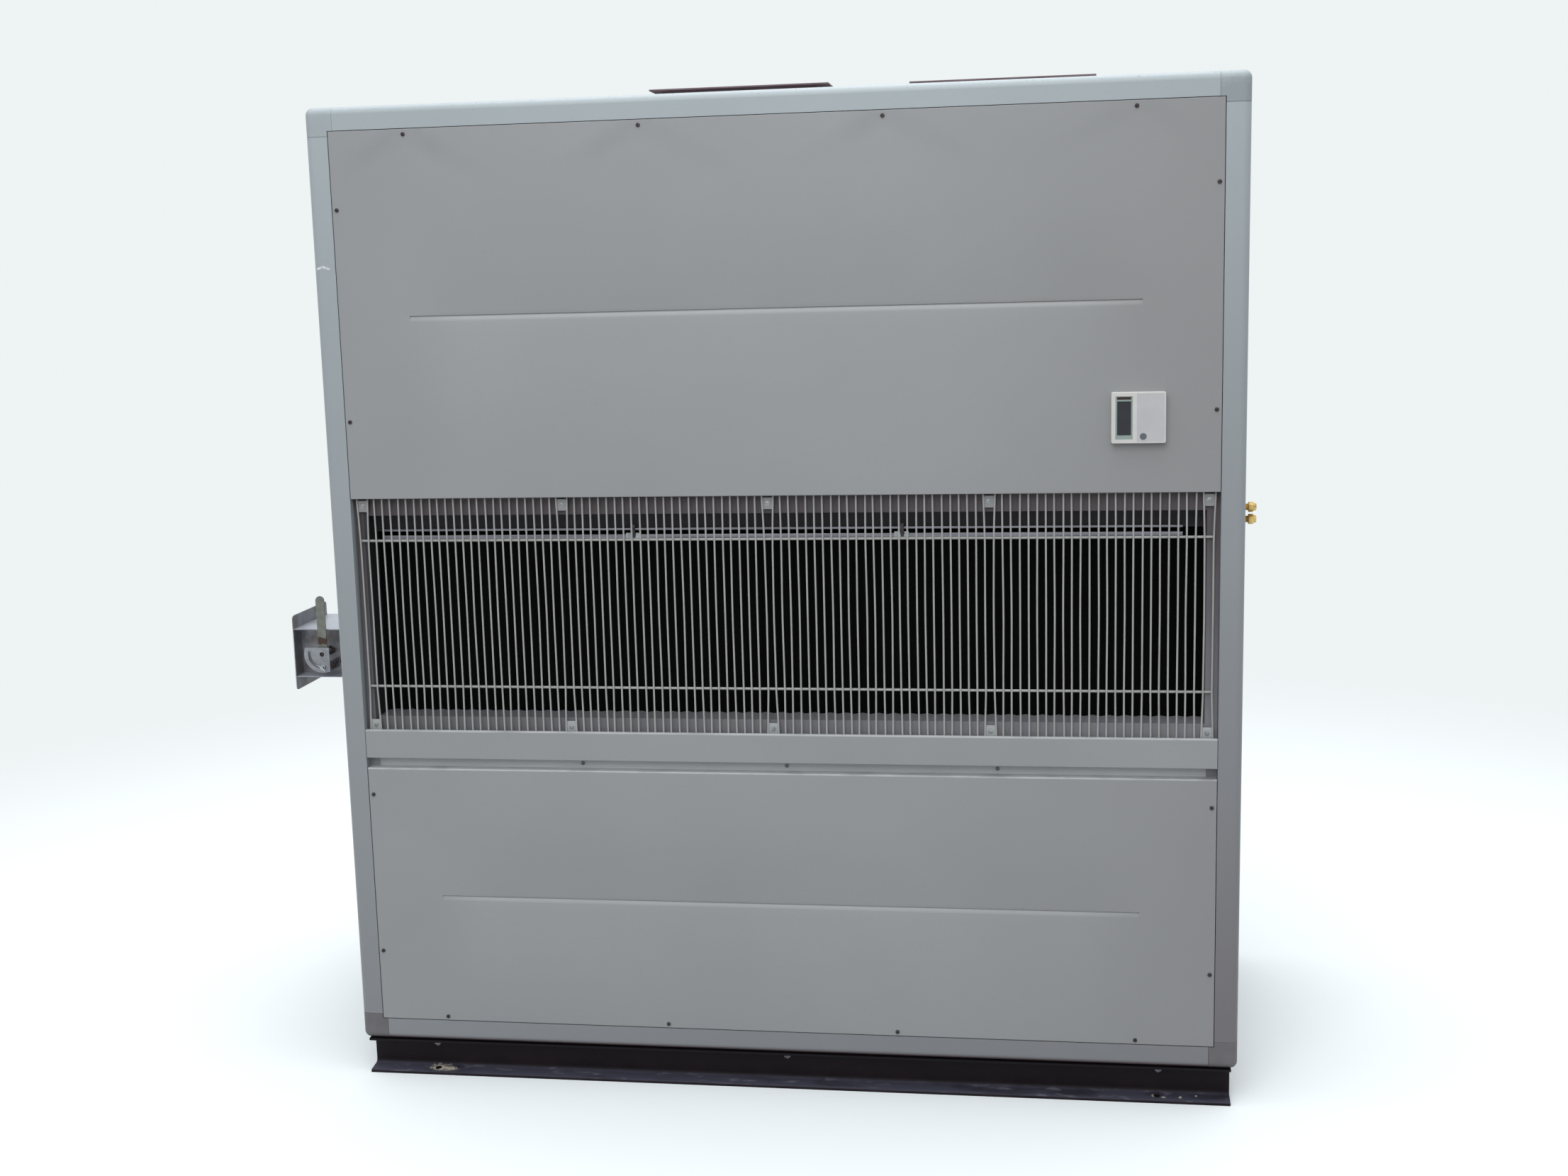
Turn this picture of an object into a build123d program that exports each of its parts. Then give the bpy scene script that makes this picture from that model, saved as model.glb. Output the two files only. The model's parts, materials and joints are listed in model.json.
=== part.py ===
from build123d import *
import os

# Floor-standing ducted air conditioner: insulated panels in an extruded frame with cast
# corners, a wire return-air grille in front, two fan outlets on top, a fresh-air damper on
# the left side and two brass pipe fittings on the right, on a base of rolled channel.
# Millimetres. X runs to the right, Y to the back, Z up. The origin is on the floor, at the
# centre of the four anchor holes.

# Cabinet
cabinet_width = 1900.0
cabinet_depth = 900.0
cabinet_height = 2016.0

# Base of rolled channel
base_height = 80.0
channel_flange = 43.0
channel_web = 5.0
channel_flange_mean = 8.0
channel_flange_slope = 0.1
channel_root_radius = 8.0
channel_toe_radius = 4.0
channel_end_inset = 13.0
anchor_hole_radius = 7.0
anchor_from_end = 150.0
anchor_from_toe = 20.0

# Frame extrusion and corner castings
profile_face = 48.0
profile_radius = 15.0
lip_reach = 22.0
lip_thickness = 3.0
corner_reach = 60.0
casting_seam = 1.2

# Insulated panels
panel_thickness = 25.0
panel_gap = 1.2
panel_edge_radius = 1.5
crease_height = 10.0
crease_step = 1.5
crease_depth = 2.5
crease_end_inset = 155.0

# Front, from the bottom rail up; the upper panel takes what is left
lower_panel_height = 573.0
recess_height = 22.5
sill_height = 62.0
grille_height = 502.0

# Sill and strip below the grille
sheet_thickness = 2.0
bend_radius = 1.4
sill_return = 9.0
strip_cover = 25.0
strip_depth = 25.0

# Return-air grille
wire_size = 4.4
wire_pitch = 17.43
wire_margin = 13.0
wire_setback = 10.3
wire_top_gap = 1.0
wire_tuck = 16.0
bar_size = 5.5
bar_inset = 94.0
tab_width = 22.0
tab_height = 24.0
tab_thickness = 2.0
tab_spacer_radius = 6.0
tab_count = 5
tab_end_inset = 25.0
tab_from_edge = 17.0
tab_low_drop = 8.0

# Surround behind the grille, filter and filter rail
ledge_thickness = 3.0
ledge_top = 38.0
ledge_bottom = 27.0
ledge_side = 26.0
ledge_tuck = 50.0
sleeve_wall = 3.0
sleeve_back = 100.0
filter_thickness = 20.0
filter_fit = 0.3
pleat_pitch = 34.0
pleat_depth = 12.0
rail_height = 18.0
rail_depth = 10.0
rail_from_top = 36.0
rail_short = 44.0

# Fan outlets on top
outlet_from_right = 483.0
outlet_spacing = 563.0
outlet_width = 390.0
outlet_length = 350.0
collar_height = 40.0
collar_drop = 5.5
collar_flange = 25.0
collar_wall = 3.0
collar_fit = 2.0

# Fans under the outlets, the scrolls set forward from the back panel
fan_back_gap = 26.2
scroll_growth = 0.1
throat_ratio = 1.45
shaft_shift = 1.0 / 15.0
wheel_ratio = 2.0 / 3.0
housing_wall = 3.0
housing_flange = 22.0
inlet_ratio = 0.8
wheel_side_gap = 12.0
wheel_ring = 26.0
wheel_sheet = 3.0
blade_count = 24
blade_tilt = 35.0
blade_share = 0.8
shaft_radius = 15.0
shaft_fit = 0.3
shaft_overhang = 60.0
hub_radius = 34.0
hub_length = 60.0
strap_width = 46.0
strap_thickness = 4.0
bearing_length = 30.0

# Fresh-air damper on the left side
damper_height = 803.5
damper_setback = 392.5
damper_reach = 254.0
duct_size = 115.0
duct_wall = 2.0
duct_flange = 31.5
duct_flange_radius = 8.0
duct_lip = 45.0
pivot_inset = 75.0
blade_clearance = 5.0
blade_thickness = 2.0
spindle_radius = 5.0
spindle_fit = 0.3
bush_radius = 10.0
bush_height = 3.0
lever_gap = 5.0
lever_thickness = 3.0
lever_width = 21.0
lever_grip = 137.5
lever_tail = 40.0
stud_radius = 2.5
stud_length = 15.0
slot_radius = 31.0
slot_width = 7.0
slot_overrun = 9.0
damper_travel = 90.0
quadrant_gap = 5.0
quadrant_thickness = 2.0
quadrant_radius = 44.0
quadrant_top = 16.0
quadrant_right = 18.0
quadrant_hole_radius = 5.5
foot_reach = 24.0
foot_top = 17.0

# Room controller on the upper front panel
controller_width = 106.0
controller_height = 101.0
controller_thickness = 16.0
controller_from_right = 210.5
controller_up = 150.0
controller_radius = 4.0
controller_edge_radius = 1.3
controller_split = 49.5
display_margin = 8.0
display_recess = 2.0
display_thickness = 1.2
flap_thickness = 2.0
flap_margin = 2.5
button_radius = 6.5
button_height = 1.5
button_from_split = 12.5
button_from_bottom = 14.0

# Brass pipe fittings on the right side
fitting_height = 1128.0
fitting_setback = 300.0
fitting_spacing = 26.0
fitting_plate_width = 70.0
fitting_plate_height = 96.0
fitting_plate_radius = 6.0
fitting_base_radius = 12.0
fitting_base_length = 6.0
fitting_hex = 22.0
fitting_hex_length = 18.0
fitting_neck_radius = 7.0
fitting_neck_length = 7.0
fitting_cap_hex = 19.0
fitting_cap_length = 17.0

# Heights of the front and the faces of the cabinet
half_width = cabinet_width / 2
half_depth = cabinet_depth / 2
cabinet_bottom = base_height
cabinet_top = base_height + cabinet_height
lower_bottom = cabinet_bottom + profile_face
lower_top = lower_bottom + lower_panel_height
sill_bottom = lower_top + recess_height
sill_top = sill_bottom + sill_height
upper_bottom = sill_top + grille_height
upper_top = cabinet_top - profile_face
opening_width = cabinet_width - 2 * profile_face
ledge_front = panel_thickness - ledge_thickness
middle_height = (lower_top + sill_bottom) / 2
lip_end = profile_face + lip_reach

FRONT = Plane(origin=(0, -half_depth, 0), x_dir=(1, 0, 0), z_dir=(0, -1, 0))
BACK = Plane(origin=(0, half_depth, 0), x_dir=(-1, 0, 0), z_dir=(0, 1, 0))
LEFT = Plane(origin=(-half_width, 0, 0), x_dir=(0, -1, 0), z_dir=(-1, 0, 0))
RIGHT = Plane(origin=(half_width, 0, 0), x_dir=(0, 1, 0), z_dir=(1, 0, 0))
TOP = Plane(origin=(0, 0, cabinet_top), x_dir=(1, 0, 0), z_dir=(0, 0, 1))
FLOOR = Plane(origin=(0, 0, cabinet_bottom), x_dir=(1, 0, 0), z_dir=(0, 0, -1))
UP = Vector(0, 0, 1)


def block(x, y, z):
    """Box between two limits on each axis."""
    size = [limits[1] - limits[0] for limits in (x, y, z)]
    middle = [(limits[0] + limits[1]) / 2 for limits in (x, y, z)]
    return Pos(*middle) * Box(*size)


def outline(*points):
    """Flat face inside straight lines."""
    return make_face(Polyline(*points, close=True))


# Base


def channel_section():
    """Rolled channel: web at x = 0, flanges with sloped inner faces, rounded root and toe."""
    half_slope = channel_flange_slope * (channel_flange - channel_web) / 2
    toe = channel_flange_mean - half_slope
    root = channel_flange_mean + half_slope
    face = outline(
        (0, 0), (channel_flange, 0), (channel_flange, toe), (channel_web, root),
        (channel_web, base_height - root), (channel_flange, base_height - toe),
        (channel_flange, base_height), (0, base_height),
    )
    roots = [v for v in face.vertices() if abs(v.X - channel_web) < 0.01]
    face = fillet(roots, channel_root_radius)
    toes = [v for v in face.vertices() if v.X > channel_flange - 0.01 and 1 < v.Y < base_height - 1]
    return fillet(toes, channel_toe_radius)


def channel(middle, toe_direction, length):
    """Length of channel on the floor, its web at middle and its flanges along toe_direction."""
    toe = Vector(*toe_direction)
    plane = Plane(origin=middle, x_dir=toe, z_dir=toe.cross(UP))
    return extrude(plane * channel_section(), amount=length / 2, both=True)


def long_channel(side):
    """Front (-1) or back (+1) channel with its two anchor holes."""
    length = cabinet_width - 2 * channel_end_inset
    web_y = side * (half_depth - channel_flange)
    body = channel((0, web_y, 0), (0, side, 0), length)
    hole_y = side * (half_depth - anchor_from_toe)
    for end in (-1, 1):
        hole_x = end * (length / 2 - anchor_from_end)
        body -= Pos(hole_x, hole_y, 0) * Cylinder(anchor_hole_radius, base_height / 2)
    return body


def cross_channels():
    """Two end channels and a middle one between the long channels."""
    length = cabinet_depth - 2 * channel_flange
    end_x = half_width - channel_end_inset
    return [
        channel((-end_x, 0, 0), (1, 0, 0), length),
        channel((-channel_flange / 2, 0, 0), (1, 0, 0), length),
        channel((end_x, 0, 0), (-1, 0, 0), length),
    ]


# Frame


def profile_core():
    """Square of the frame extrusion, its outer corner rounded at the origin."""
    face = outline((0, 0), (profile_face, 0), (profile_face, profile_face), (0, profile_face))
    corner = face.vertices().sort_by_distance((0, 0, 0))[0]
    return fillet([corner], profile_radius)


def frame_member(middle, inward_a, inward_b, length):
    """Extrusion along the cabinet edge through middle, with a lip behind each of its panels."""
    a = Vector(*inward_a)
    b = Vector(*inward_b)
    along = a.cross(b)
    plane = Plane(origin=middle, x_dir=a, z_dir=along)
    body = extrude(plane * profile_core(), amount=length / 2, both=True)
    ends = length / 2 if abs(along.Z) > 0.5 else length / 2 + corner_reach - lip_end
    face_span = (panel_thickness, panel_thickness + lip_thickness)
    reach_span = (profile_face, lip_end)
    body += plane * block(reach_span, face_span, (-ends, ends))
    body += plane * block(face_span, reach_span, (-ends, ends))
    return body


def post(side_x, side_y):
    """Upright at one corner of the plan."""
    middle = (side_x * half_width, side_y * half_depth, (cabinet_bottom + cabinet_top) / 2)
    return frame_member(middle, (-side_x, 0, 0), (0, -side_y, 0), cabinet_height - 2 * corner_reach)


def long_rail(side_y, side_z):
    """Rail along X at the front or back, at the bottom or top."""
    level = cabinet_top if side_z > 0 else cabinet_bottom
    length = cabinet_width - 2 * corner_reach
    return frame_member((0, side_y * half_depth, level), (0, -side_y, 0), (0, 0, -side_z), length)


def side_rails(side_z):
    """Left and right rails along Y, at the bottom or top."""
    level = cabinet_top if side_z > 0 else cabinet_bottom
    length = cabinet_depth - 2 * corner_reach
    return [
        frame_member((side_x * half_width, 0, level), (-side_x, 0, 0), (0, 0, -side_z), length)
        for side_x in (-1, 1)
    ]


def corner_casting(side_x, side_y, side_z):
    """Three-legged casting whose outer edges run on from the rounded extrusions."""
    level = cabinet_top if side_z > 0 else cabinet_bottom
    corner = (side_x * half_width, side_y * half_depth, level)
    inward = (-side_x, -side_y, -side_z)
    body = Part()
    for leg in range(3):
        size = [corner_reach if axis == leg else profile_face for axis in range(3)]
        middle = [c + i * s / 2 for c, i, s in zip(corner, inward, size)]
        body += Pos(*middle) * Box(*size)
    outer = []
    for edge in body.edges():
        shared = sum(abs(p - c) < 0.01 for p, c in zip(tuple(edge.center()), corner))
        if shared >= 2:
            outer.append(edge)
    body = fillet(outer, profile_radius)
    seams = []
    for edge in body.edges():
        offsets = sorted(abs(p - c) for p, c in zip(tuple(edge.center()), corner))
        if abs(offsets[2] - corner_reach) < 0.01 and offsets[0] < profile_radius / 2:
            seams.append(edge)
    return chamfer(seams, casting_seam)


def castings(side_z):
    """Four corner castings of the bottom or the top."""
    return [corner_casting(x, y, side_z) for x in (-1, 1) for y in (-1, 1)]


def middle_rail(face, span):
    """Flush rail across one face, with a lip above and below for the panels."""
    half = span / 2 - profile_face
    low = middle_height - profile_face / 2
    high = middle_height + profile_face / 2
    rail = block((-half, half), (low, high), (-panel_thickness, 0))
    lip_half = span / 2 - lip_end
    lip_levels = (low - lip_reach, high + lip_reach)
    rail += block((-lip_half, lip_half), lip_levels, (-panel_thickness - lip_thickness, -panel_thickness))
    return face * rail


def middle_rails():
    """Middle rails of the left side, the right side and the back."""
    return [
        middle_rail(LEFT, cabinet_depth),
        middle_rail(RIGHT, cabinet_depth),
        middle_rail(BACK, cabinet_width),
    ]


# Panels


def panel(half_span, low, high):
    """Insulated panel in face coordinates, its outer edges rounded by the folded skin."""
    x = (-half_span + panel_gap, half_span - panel_gap)
    body = block(x, (low + panel_gap, high - panel_gap), (-panel_thickness, 0))
    rim = body.faces().sort_by(Axis.Z)[-1].edges()
    return fillet(rim, panel_edge_radius)


def crease(half_span, level):
    """Crease pressed across a front panel, in face coordinates: a long curve in and a short step out."""
    radius = (crease_height ** 2 + crease_depth ** 2) / (2 * crease_depth)
    half_rise = crease_height / 2
    half_deep = radius - (radius ** 2 - half_rise ** 2) ** 0.5
    low = level - crease_height
    high = level + crease_step
    curve = ThreePointArc((low, 0), (low + half_rise, -half_deep), (level, -crease_depth))
    rest = Polyline((level, -crease_depth), (high, 0), (high, crease_depth), (low, crease_depth), (low, 0))
    section = make_face([curve] + rest.edges())
    half_length = half_span - crease_end_inset
    return extrude(Plane.YZ * section, amount=half_length, both=True)


def front_panel(low, high):
    """Front panel with a crease at half its height."""
    half_span = opening_width / 2
    return FRONT * (panel(half_span, low, high) - crease(half_span, (low + high) / 2))


def side_span():
    """Half the clear length between the posts of a side."""
    return half_depth - profile_face


def side_levels(upper):
    """Lower and upper limits of a panel below or above the middle rail."""
    if upper:
        return middle_height + profile_face / 2, upper_top
    return lower_bottom, middle_height - profile_face / 2


def left_upper_panel():
    """Left panel with the hole behind the fresh-air damper."""
    body = panel(side_span(), *side_levels(True))
    hole = duct_size - 2 * duct_wall
    body -= Pos(-damper_y(), damper_z(), 0) * Box(hole, hole, 4 * panel_thickness)
    return LEFT * body


def top_panel():
    """Top panel with a cut-out for each outlet."""
    body = panel(half_width - profile_face, -side_span(), side_span())
    hole_x = outlet_width - 2 * collar_flange + 2 * collar_fit
    hole_y = outlet_length - 2 * collar_flange + 2 * collar_fit
    for side in (-1, 1):
        body -= Pos(outlet_x(side), outlet_y(), 0) * Box(hole_x, hole_y, 4 * panel_thickness)
    return TOP * body


# Return-air grille and what lies behind it


def grille_sill():
    """Folded sheet below the grille: face, short top return and deep bottom return."""
    half = opening_width / 2 - panel_gap
    body = block((-half, half), (sill_bottom, sill_top), (-sheet_thickness, 0))
    body += block((-half, half), (sill_top - sheet_thickness, sill_top), (-sill_return, 0))
    body += block((-half, half), (sill_bottom, sill_bottom + sheet_thickness), (-panel_thickness, 0))
    bends = [
        e for e in body.edges().filter_by(Axis.X)
        if abs(e.center().Z) < 0.01 and (e.center().Y < sill_bottom + 1 or e.center().Y > sill_top - 1)
    ]
    return FRONT * fillet(bends, bend_radius)


def recess_strip():
    """Set-back strip that shows between the lower panel and the sill, and backs both."""
    half = half_width - lip_end
    levels = (lower_top - strip_cover, sill_bottom + strip_cover)
    return FRONT * block((-half, half), levels, (-panel_thickness - strip_depth, -panel_thickness))


def surround_opening():
    """Half width, bottom and top of the hole in the surround."""
    return opening_width / 2 - ledge_side, sill_top + ledge_bottom, upper_bottom - ledge_top


def grille_surround():
    """Ledge that carries the grille, with a sleeve round its hole for the filter."""
    hole_half, hole_low, hole_high = surround_opening()
    half = opening_width / 2 - panel_gap
    levels = (sill_top - ledge_tuck, upper_bottom)
    plate = block((-half, half), levels, (-panel_thickness, -ledge_front))
    sleeve_half = hole_half + sleeve_wall
    sleeve_levels = (hole_low - sleeve_wall, hole_high + sleeve_wall)
    plate += block((-sleeve_half, sleeve_half), sleeve_levels, (-sleeve_back, -ledge_front))
    plate -= block((-hole_half, hole_half), (hole_low, hole_high), (-2 * sleeve_back, sleeve_back))
    return FRONT * plate


def wire_positions():
    """Places of the upright wires along X, centred on the opening."""
    gaps = round((opening_width - 2 * wire_margin) / wire_pitch)
    return [(i - gaps / 2) * wire_pitch for i in range(gaps + 1)]


def return_grille():
    """Upright wires welded to the front of two level bars."""
    wire_low = sill_top - wire_tuck
    wire_length = upper_bottom - wire_top_gap - wire_low
    wire_y = -half_depth + wire_setback + wire_size / 2
    wire = extrude(Rectangle(wire_size, wire_size), amount=wire_length)
    places = wire_positions()
    wires = [Pos(x, wire_y, wire_low) * wire for x in places]
    bar_y = wire_y + (wire_size + bar_size) / 2
    bar_section = Plane.YZ * Rectangle(bar_size, bar_size)
    bar = extrude(bar_section, amount=places[-1] + wire_size / 2, both=True)
    levels = (sill_top + bar_inset, upper_bottom - bar_inset)
    bars = [Pos(0, bar_y, level) * bar for level in levels]
    return Part() + bars + wires


def tab_positions():
    """Places of the tabs: spread evenly, each moved to the nearest gap between two wires."""
    reach = opening_width / 2 - tab_end_inset
    gaps = [(a + b) / 2 for a, b in zip(wire_positions(), wire_positions()[1:])]
    wanted = [-reach + 2 * reach * i / (tab_count - 1) for i in range(tab_count)]
    return [min(gaps, key=lambda gap: abs(gap - place)) for place in wanted]


def grille_tabs():
    """Screw tabs on the back of the wires, each on a hexagon spacer that stands on the ledge."""
    front = wire_setback + wire_size
    plate = block((-tab_width / 2, tab_width / 2), (-tab_height / 2, tab_height / 2),
                  (-front - tab_thickness, -front))
    spacer_length = ledge_front - front - tab_thickness
    hexagon = RegularPolygon(tab_spacer_radius, 6, major_radius=False)
    spacer = Pos(0, 0, -ledge_front) * extrude(hexagon, amount=spacer_length)
    tab = plate + spacer
    levels = (sill_top + tab_from_edge - tab_low_drop, upper_bottom - tab_from_edge)
    return [FRONT * (Pos(x, level, 0) * tab) for level in levels for x in tab_positions()]


def air_filter():
    """Pleated filter pack that stands in the sleeve of the surround."""
    hole_half, hole_low, hole_high = surround_opening()
    half = hole_half - filter_fit
    front = sleeve_back - filter_thickness
    count = int(2 * half // pleat_pitch)
    pitch = 2 * half / count
    points = [(-half, -sleeve_back), (-half, -front)]
    for i in range(count):
        points.append((-half + (i + 0.5) * pitch, -front - pleat_depth))
        points.append((-half + (i + 1) * pitch, -front))
    points.append((half, -sleeve_back))
    plan = Plane(origin=(0, 0, 0), x_dir=(1, 0, 0), z_dir=(0, -1, 0)) * outline(*points)
    pack = extrude(plan, amount=hole_high - hole_low - filter_fit, dir=(0, 1, 0))
    return FRONT * (Pos(0, hole_low, 0) * pack)


def filter_rail():
    """Flat rail against the front of the filter, short of the sleeve at its right end."""
    hole_half, _, hole_high = surround_opening()
    top = hole_high - rail_from_top
    back = sleeve_back - filter_thickness
    span = (-hole_half, hole_half - rail_short)
    return FRONT * block(span, (top - rail_height, top), (-back, rail_depth - back))


# Fan outlets and fans


def outlet_x(side):
    """Middle of the left (-1) or right (+1) outlet."""
    right = half_width - outlet_from_right
    return right if side > 0 else right - outlet_spacing


def outlet_y():
    """Middle of both outlets along the depth, with the scroll behind it clear of the back panel."""
    scroll_back = scroll_radius() * (1 - scroll_growth) + housing_wall
    return half_depth - panel_thickness - fan_back_gap - scroll_back + throat_middle()


def outlet_collar(side):
    """Sheet collar through the top panel with a duct flange round its top, lower on the right."""
    length = panel_thickness + collar_height
    if side > 0:
        length -= collar_drop
    sleeve_x = outlet_width - 2 * collar_flange
    sleeve_y = outlet_length - 2 * collar_flange
    body = Pos(0, 0, length / 2) * Box(sleeve_x, sleeve_y, length)
    body += Pos(0, 0, length - collar_wall / 2) * Box(outlet_width, outlet_length, collar_wall)
    hole_x = sleeve_x - 2 * collar_wall
    hole_y = sleeve_y - 2 * collar_wall
    body -= Box(hole_x, hole_y, 4 * length)
    return Pos(outlet_x(side), outlet_y(), cabinet_top - panel_thickness) * body


def throat_length():
    """Inside of the fan throat along the depth."""
    return outlet_length - 2 * collar_flange - 2 * housing_wall


def scroll_radius():
    """Largest radius of the fan scroll, which the throat gives."""
    return throat_length() / (1 + scroll_growth)


def throat_middle():
    """Middle of the throat along the depth, from the middle of the scroll."""
    return (scroll_growth - 1) * scroll_radius() / 2


def scroll_outline(wall, top):
    """Scroll of three widening arcs that opens into an upright throat, wall thicker all round."""
    big = scroll_radius()
    step = scroll_growth * big
    first = big + wall
    second = big - step + wall
    third = big - 2 * step + wall
    root = 0.5 ** 0.5
    low_left = (-first * root, -first * root)
    low_right = (second * root, -step - second * root)
    high_right = (step + third * root, -step + third * root)
    cut_off = (step + wall, (third ** 2 - wall ** 2) ** 0.5 - step)
    throat = Polyline(cut_off, (step + wall, top), (-first, top), (-first, 0))
    arcs = [
        ThreePointArc((-first, 0), low_left, (0, -first)),
        ThreePointArc((0, -first), low_right, (second, -step)),
        ThreePointArc((second, -step), high_right, cut_off),
    ]
    return make_face(arcs + throat.edges())


def scroll_place(side):
    """Middle of the left (-1) or right (+1) fan's scroll."""
    return outlet_x(side), outlet_y() - throat_middle(), cabinet_top - panel_thickness - throat_top()


def throat_top():
    """Height of the throat's rim, under the top panel, from the middle of the scroll."""
    return throat_ratio * scroll_radius()


def shaft_offset():
    """Shaft beside the middle of the scroll, as the widening gap asks: Y and Z."""
    return shaft_shift * scroll_radius(), -shaft_shift * scroll_radius() / 2


def shaft_place(side):
    """Point of the shaft inside the left or right fan."""
    x, y, z = scroll_place(side)
    shift_y, shift_z = shaft_offset()
    return x, y + shift_y, z + shift_z


def wheel_radius():
    """Outer radius of a fan wheel."""
    return wheel_ratio * scroll_radius()


def housing_width():
    """Width of a scroll over its side plates."""
    return outlet_width - 2 * collar_flange


def fan_wrapper(side):
    """Rolled sheet round a scroll, with a flange before and behind the throat."""
    top = throat_top()
    half = housing_width() / 2 - housing_wall
    shell = extrude(Plane.YZ * scroll_outline(housing_wall, top), amount=half, both=True)
    rim = throat_length() / 2 + housing_wall + housing_flange
    rim_span = (throat_middle() - rim, throat_middle() + rim)
    shell += block((-half, half), rim_span, (top - housing_wall, top))
    shell -= extrude(Plane.YZ * scroll_outline(0, top + housing_wall), amount=2 * half, both=True)
    return Pos(*scroll_place(side)) * shell


def fan_side_plate(side, end):
    """Flat side of a scroll: round inlet, a strap across it with the bearing, and a flange."""
    top = throat_top()
    half = housing_width() / 2
    inner = half - housing_wall
    plate = extrude(Plane.YZ * scroll_outline(housing_wall, top), amount=housing_wall)
    plate = Pos(inner if end > 0 else -half, 0, 0) * plate
    rim = throat_length() / 2 + housing_wall
    rim_x = sorted((end * inner, end * (half + housing_flange)))
    plate += block(rim_x, (throat_middle() - rim, throat_middle() + rim), (top - housing_wall, top))
    axis = Pos(0, *shaft_offset()) * Rot(0, 90, 0)
    inlet = inlet_ratio * wheel_radius()
    plate -= axis * Cylinder(inlet, 4 * half)
    strap_half = inlet + strap_width / 2
    strap_x = sorted((end * half, end * (half + strap_thickness)))
    strap = block(strap_x, (-strap_width / 2, strap_width / 2), (-strap_half, strap_half))
    plate += Pos(0, *shaft_offset()) * strap
    boss = Cylinder(hub_radius, bearing_length)
    plate += axis * Pos(0, 0, end * (half + bearing_length / 2)) * boss
    plate -= axis * Cylinder(shaft_radius + shaft_fit, 8 * half)
    return Pos(*scroll_place(side)) * plate


def fan_wheel(side):
    """Forward-curved wheel: centre disc on a hub, two rings, and the blades between them."""
    outer = wheel_radius()
    inner = outer - wheel_ring
    width = housing_width() - 2 * housing_wall - 2 * wheel_side_gap
    body = Cylinder(outer, wheel_sheet) + Cylinder(hub_radius, hub_length)
    ring = Cylinder(outer, wheel_sheet) - Cylinder(inner, wheel_sheet)
    ring_z = (width - wheel_sheet) / 2
    body += [Pos(0, 0, -ring_z) * ring, Pos(0, 0, ring_z) * ring]
    blade_length = blade_share * wheel_ring
    blade = Box(blade_length, wheel_sheet, width - wheel_sheet)
    blade = Pos((outer + inner) / 2, 0, 0) * Rot(0, 0, blade_tilt) * blade
    body += [Rot(0, 0, 360 * i / blade_count) * blade for i in range(blade_count)]
    body -= Cylinder(shaft_radius + shaft_fit, 2 * width)
    return Pos(*shaft_place(side)) * Rot(0, 90, 0) * body


def fan_shaft():
    """Shaft that carries both wheels."""
    left = Vector(*shaft_place(-1))
    right = Vector(*shaft_place(1))
    reach = housing_width() / 2 + bearing_length + shaft_overhang
    length = (right - left).length + 2 * reach
    return Pos((left + right) / 2) * Rot(0, 90, 0) * Cylinder(shaft_radius, length)


# Fresh-air damper


def damper_y():
    """Middle of the damper duct along the depth."""
    return -half_depth + damper_setback + duct_size / 2


def damper_z():
    """Height of the damper's pivot above the floor."""
    return cabinet_bottom + damper_height


def pivot_x():
    """Place of the damper's pivot along X."""
    return -half_width - damper_reach + pivot_inset


def lever_level():
    """Back of the lever in front of the duct's wall, clear of the lips."""
    return duct_lip + lever_gap


def in_front_of_duct(part):
    """Moves a piece drawn about the pivot, x right, y up, z forward, to the duct's front wall."""
    wall_y = damper_y() - duct_size / 2
    return Plane(origin=(pivot_x(), wall_y, damper_z()), x_dir=(1, 0, 0), z_dir=(0, -1, 0)) * part


def damper_frame():
    """Square duct stub between two flanges, its top and bottom sheets running on past the walls."""
    inside = duct_size - 2 * duct_wall
    wall_middle = (duct_size - duct_wall) / 2
    flange_height = duct_size + 2 * duct_flange
    flange_depth = duct_size + 2 * duct_lip
    tube = Pos(0, 0, damper_reach / 2) * Box(duct_size, duct_size, damper_reach)
    plate = extrude(RectangleRounded(flange_depth, flange_height, duct_flange_radius), amount=duct_wall)
    tube += [plate, Pos(0, 0, damper_reach - duct_wall) * plate]
    sheet = Box(flange_depth, duct_wall, damper_reach)
    tube += [Pos(0, end * wall_middle, damper_reach / 2) * sheet for end in (-1, 1)]
    tube -= Box(inside, inside, 4 * damper_reach)
    body = Plane(origin=(-half_width, damper_y(), damper_z()), x_dir=(0, -1, 0), z_dir=(-1, 0, 0)) * tube
    axis = Pos(pivot_x(), damper_y(), damper_z()) * Rot(90, 0, 0)
    for end in (-1, 1):
        bush = Cylinder(bush_radius, duct_wall + 2 * bush_height)
        body += (axis * Pos(0, 0, end * (wall_middle + bush_height)) * bush)
    body -= block((-half_width - damper_reach, -half_width),
                  (damper_y() - inside / 2, damper_y() + inside / 2),
                  (damper_z() - inside / 2, damper_z() + inside / 2))
    return body - axis * Cylinder(spindle_radius + spindle_fit, 2 * duct_size)


def damper_blade():
    """Flat blade on its spindle, upright when the damper is shut."""
    size = duct_size - 2 * duct_wall - 2 * blade_clearance
    body = Box(blade_thickness, size, size)
    front = duct_size / 2 + lever_level()
    back = duct_size / 2 + bush_height + duct_wall
    spindle = Pos(0, (back - front) / 2, 0) * Rot(90, 0, 0) * Cylinder(spindle_radius, front + back)
    return Pos(pivot_x(), damper_y(), damper_z()) * (body + spindle)


def damper_lever():
    """Flat lever with round ends and the clamping stud on its tail."""
    middle = (lever_grip - lever_tail) / 2
    bar = SlotOverall(lever_grip + lever_tail, lever_width, rotation=90)
    body = Pos(0, middle, lever_level()) * extrude(bar, amount=lever_thickness)
    stud_middle = lever_level() + lever_thickness + stud_length / 2
    body += Pos(0, -slot_radius, stud_middle) * Cylinder(stud_radius, stud_length)
    return in_front_of_duct(body)


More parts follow.
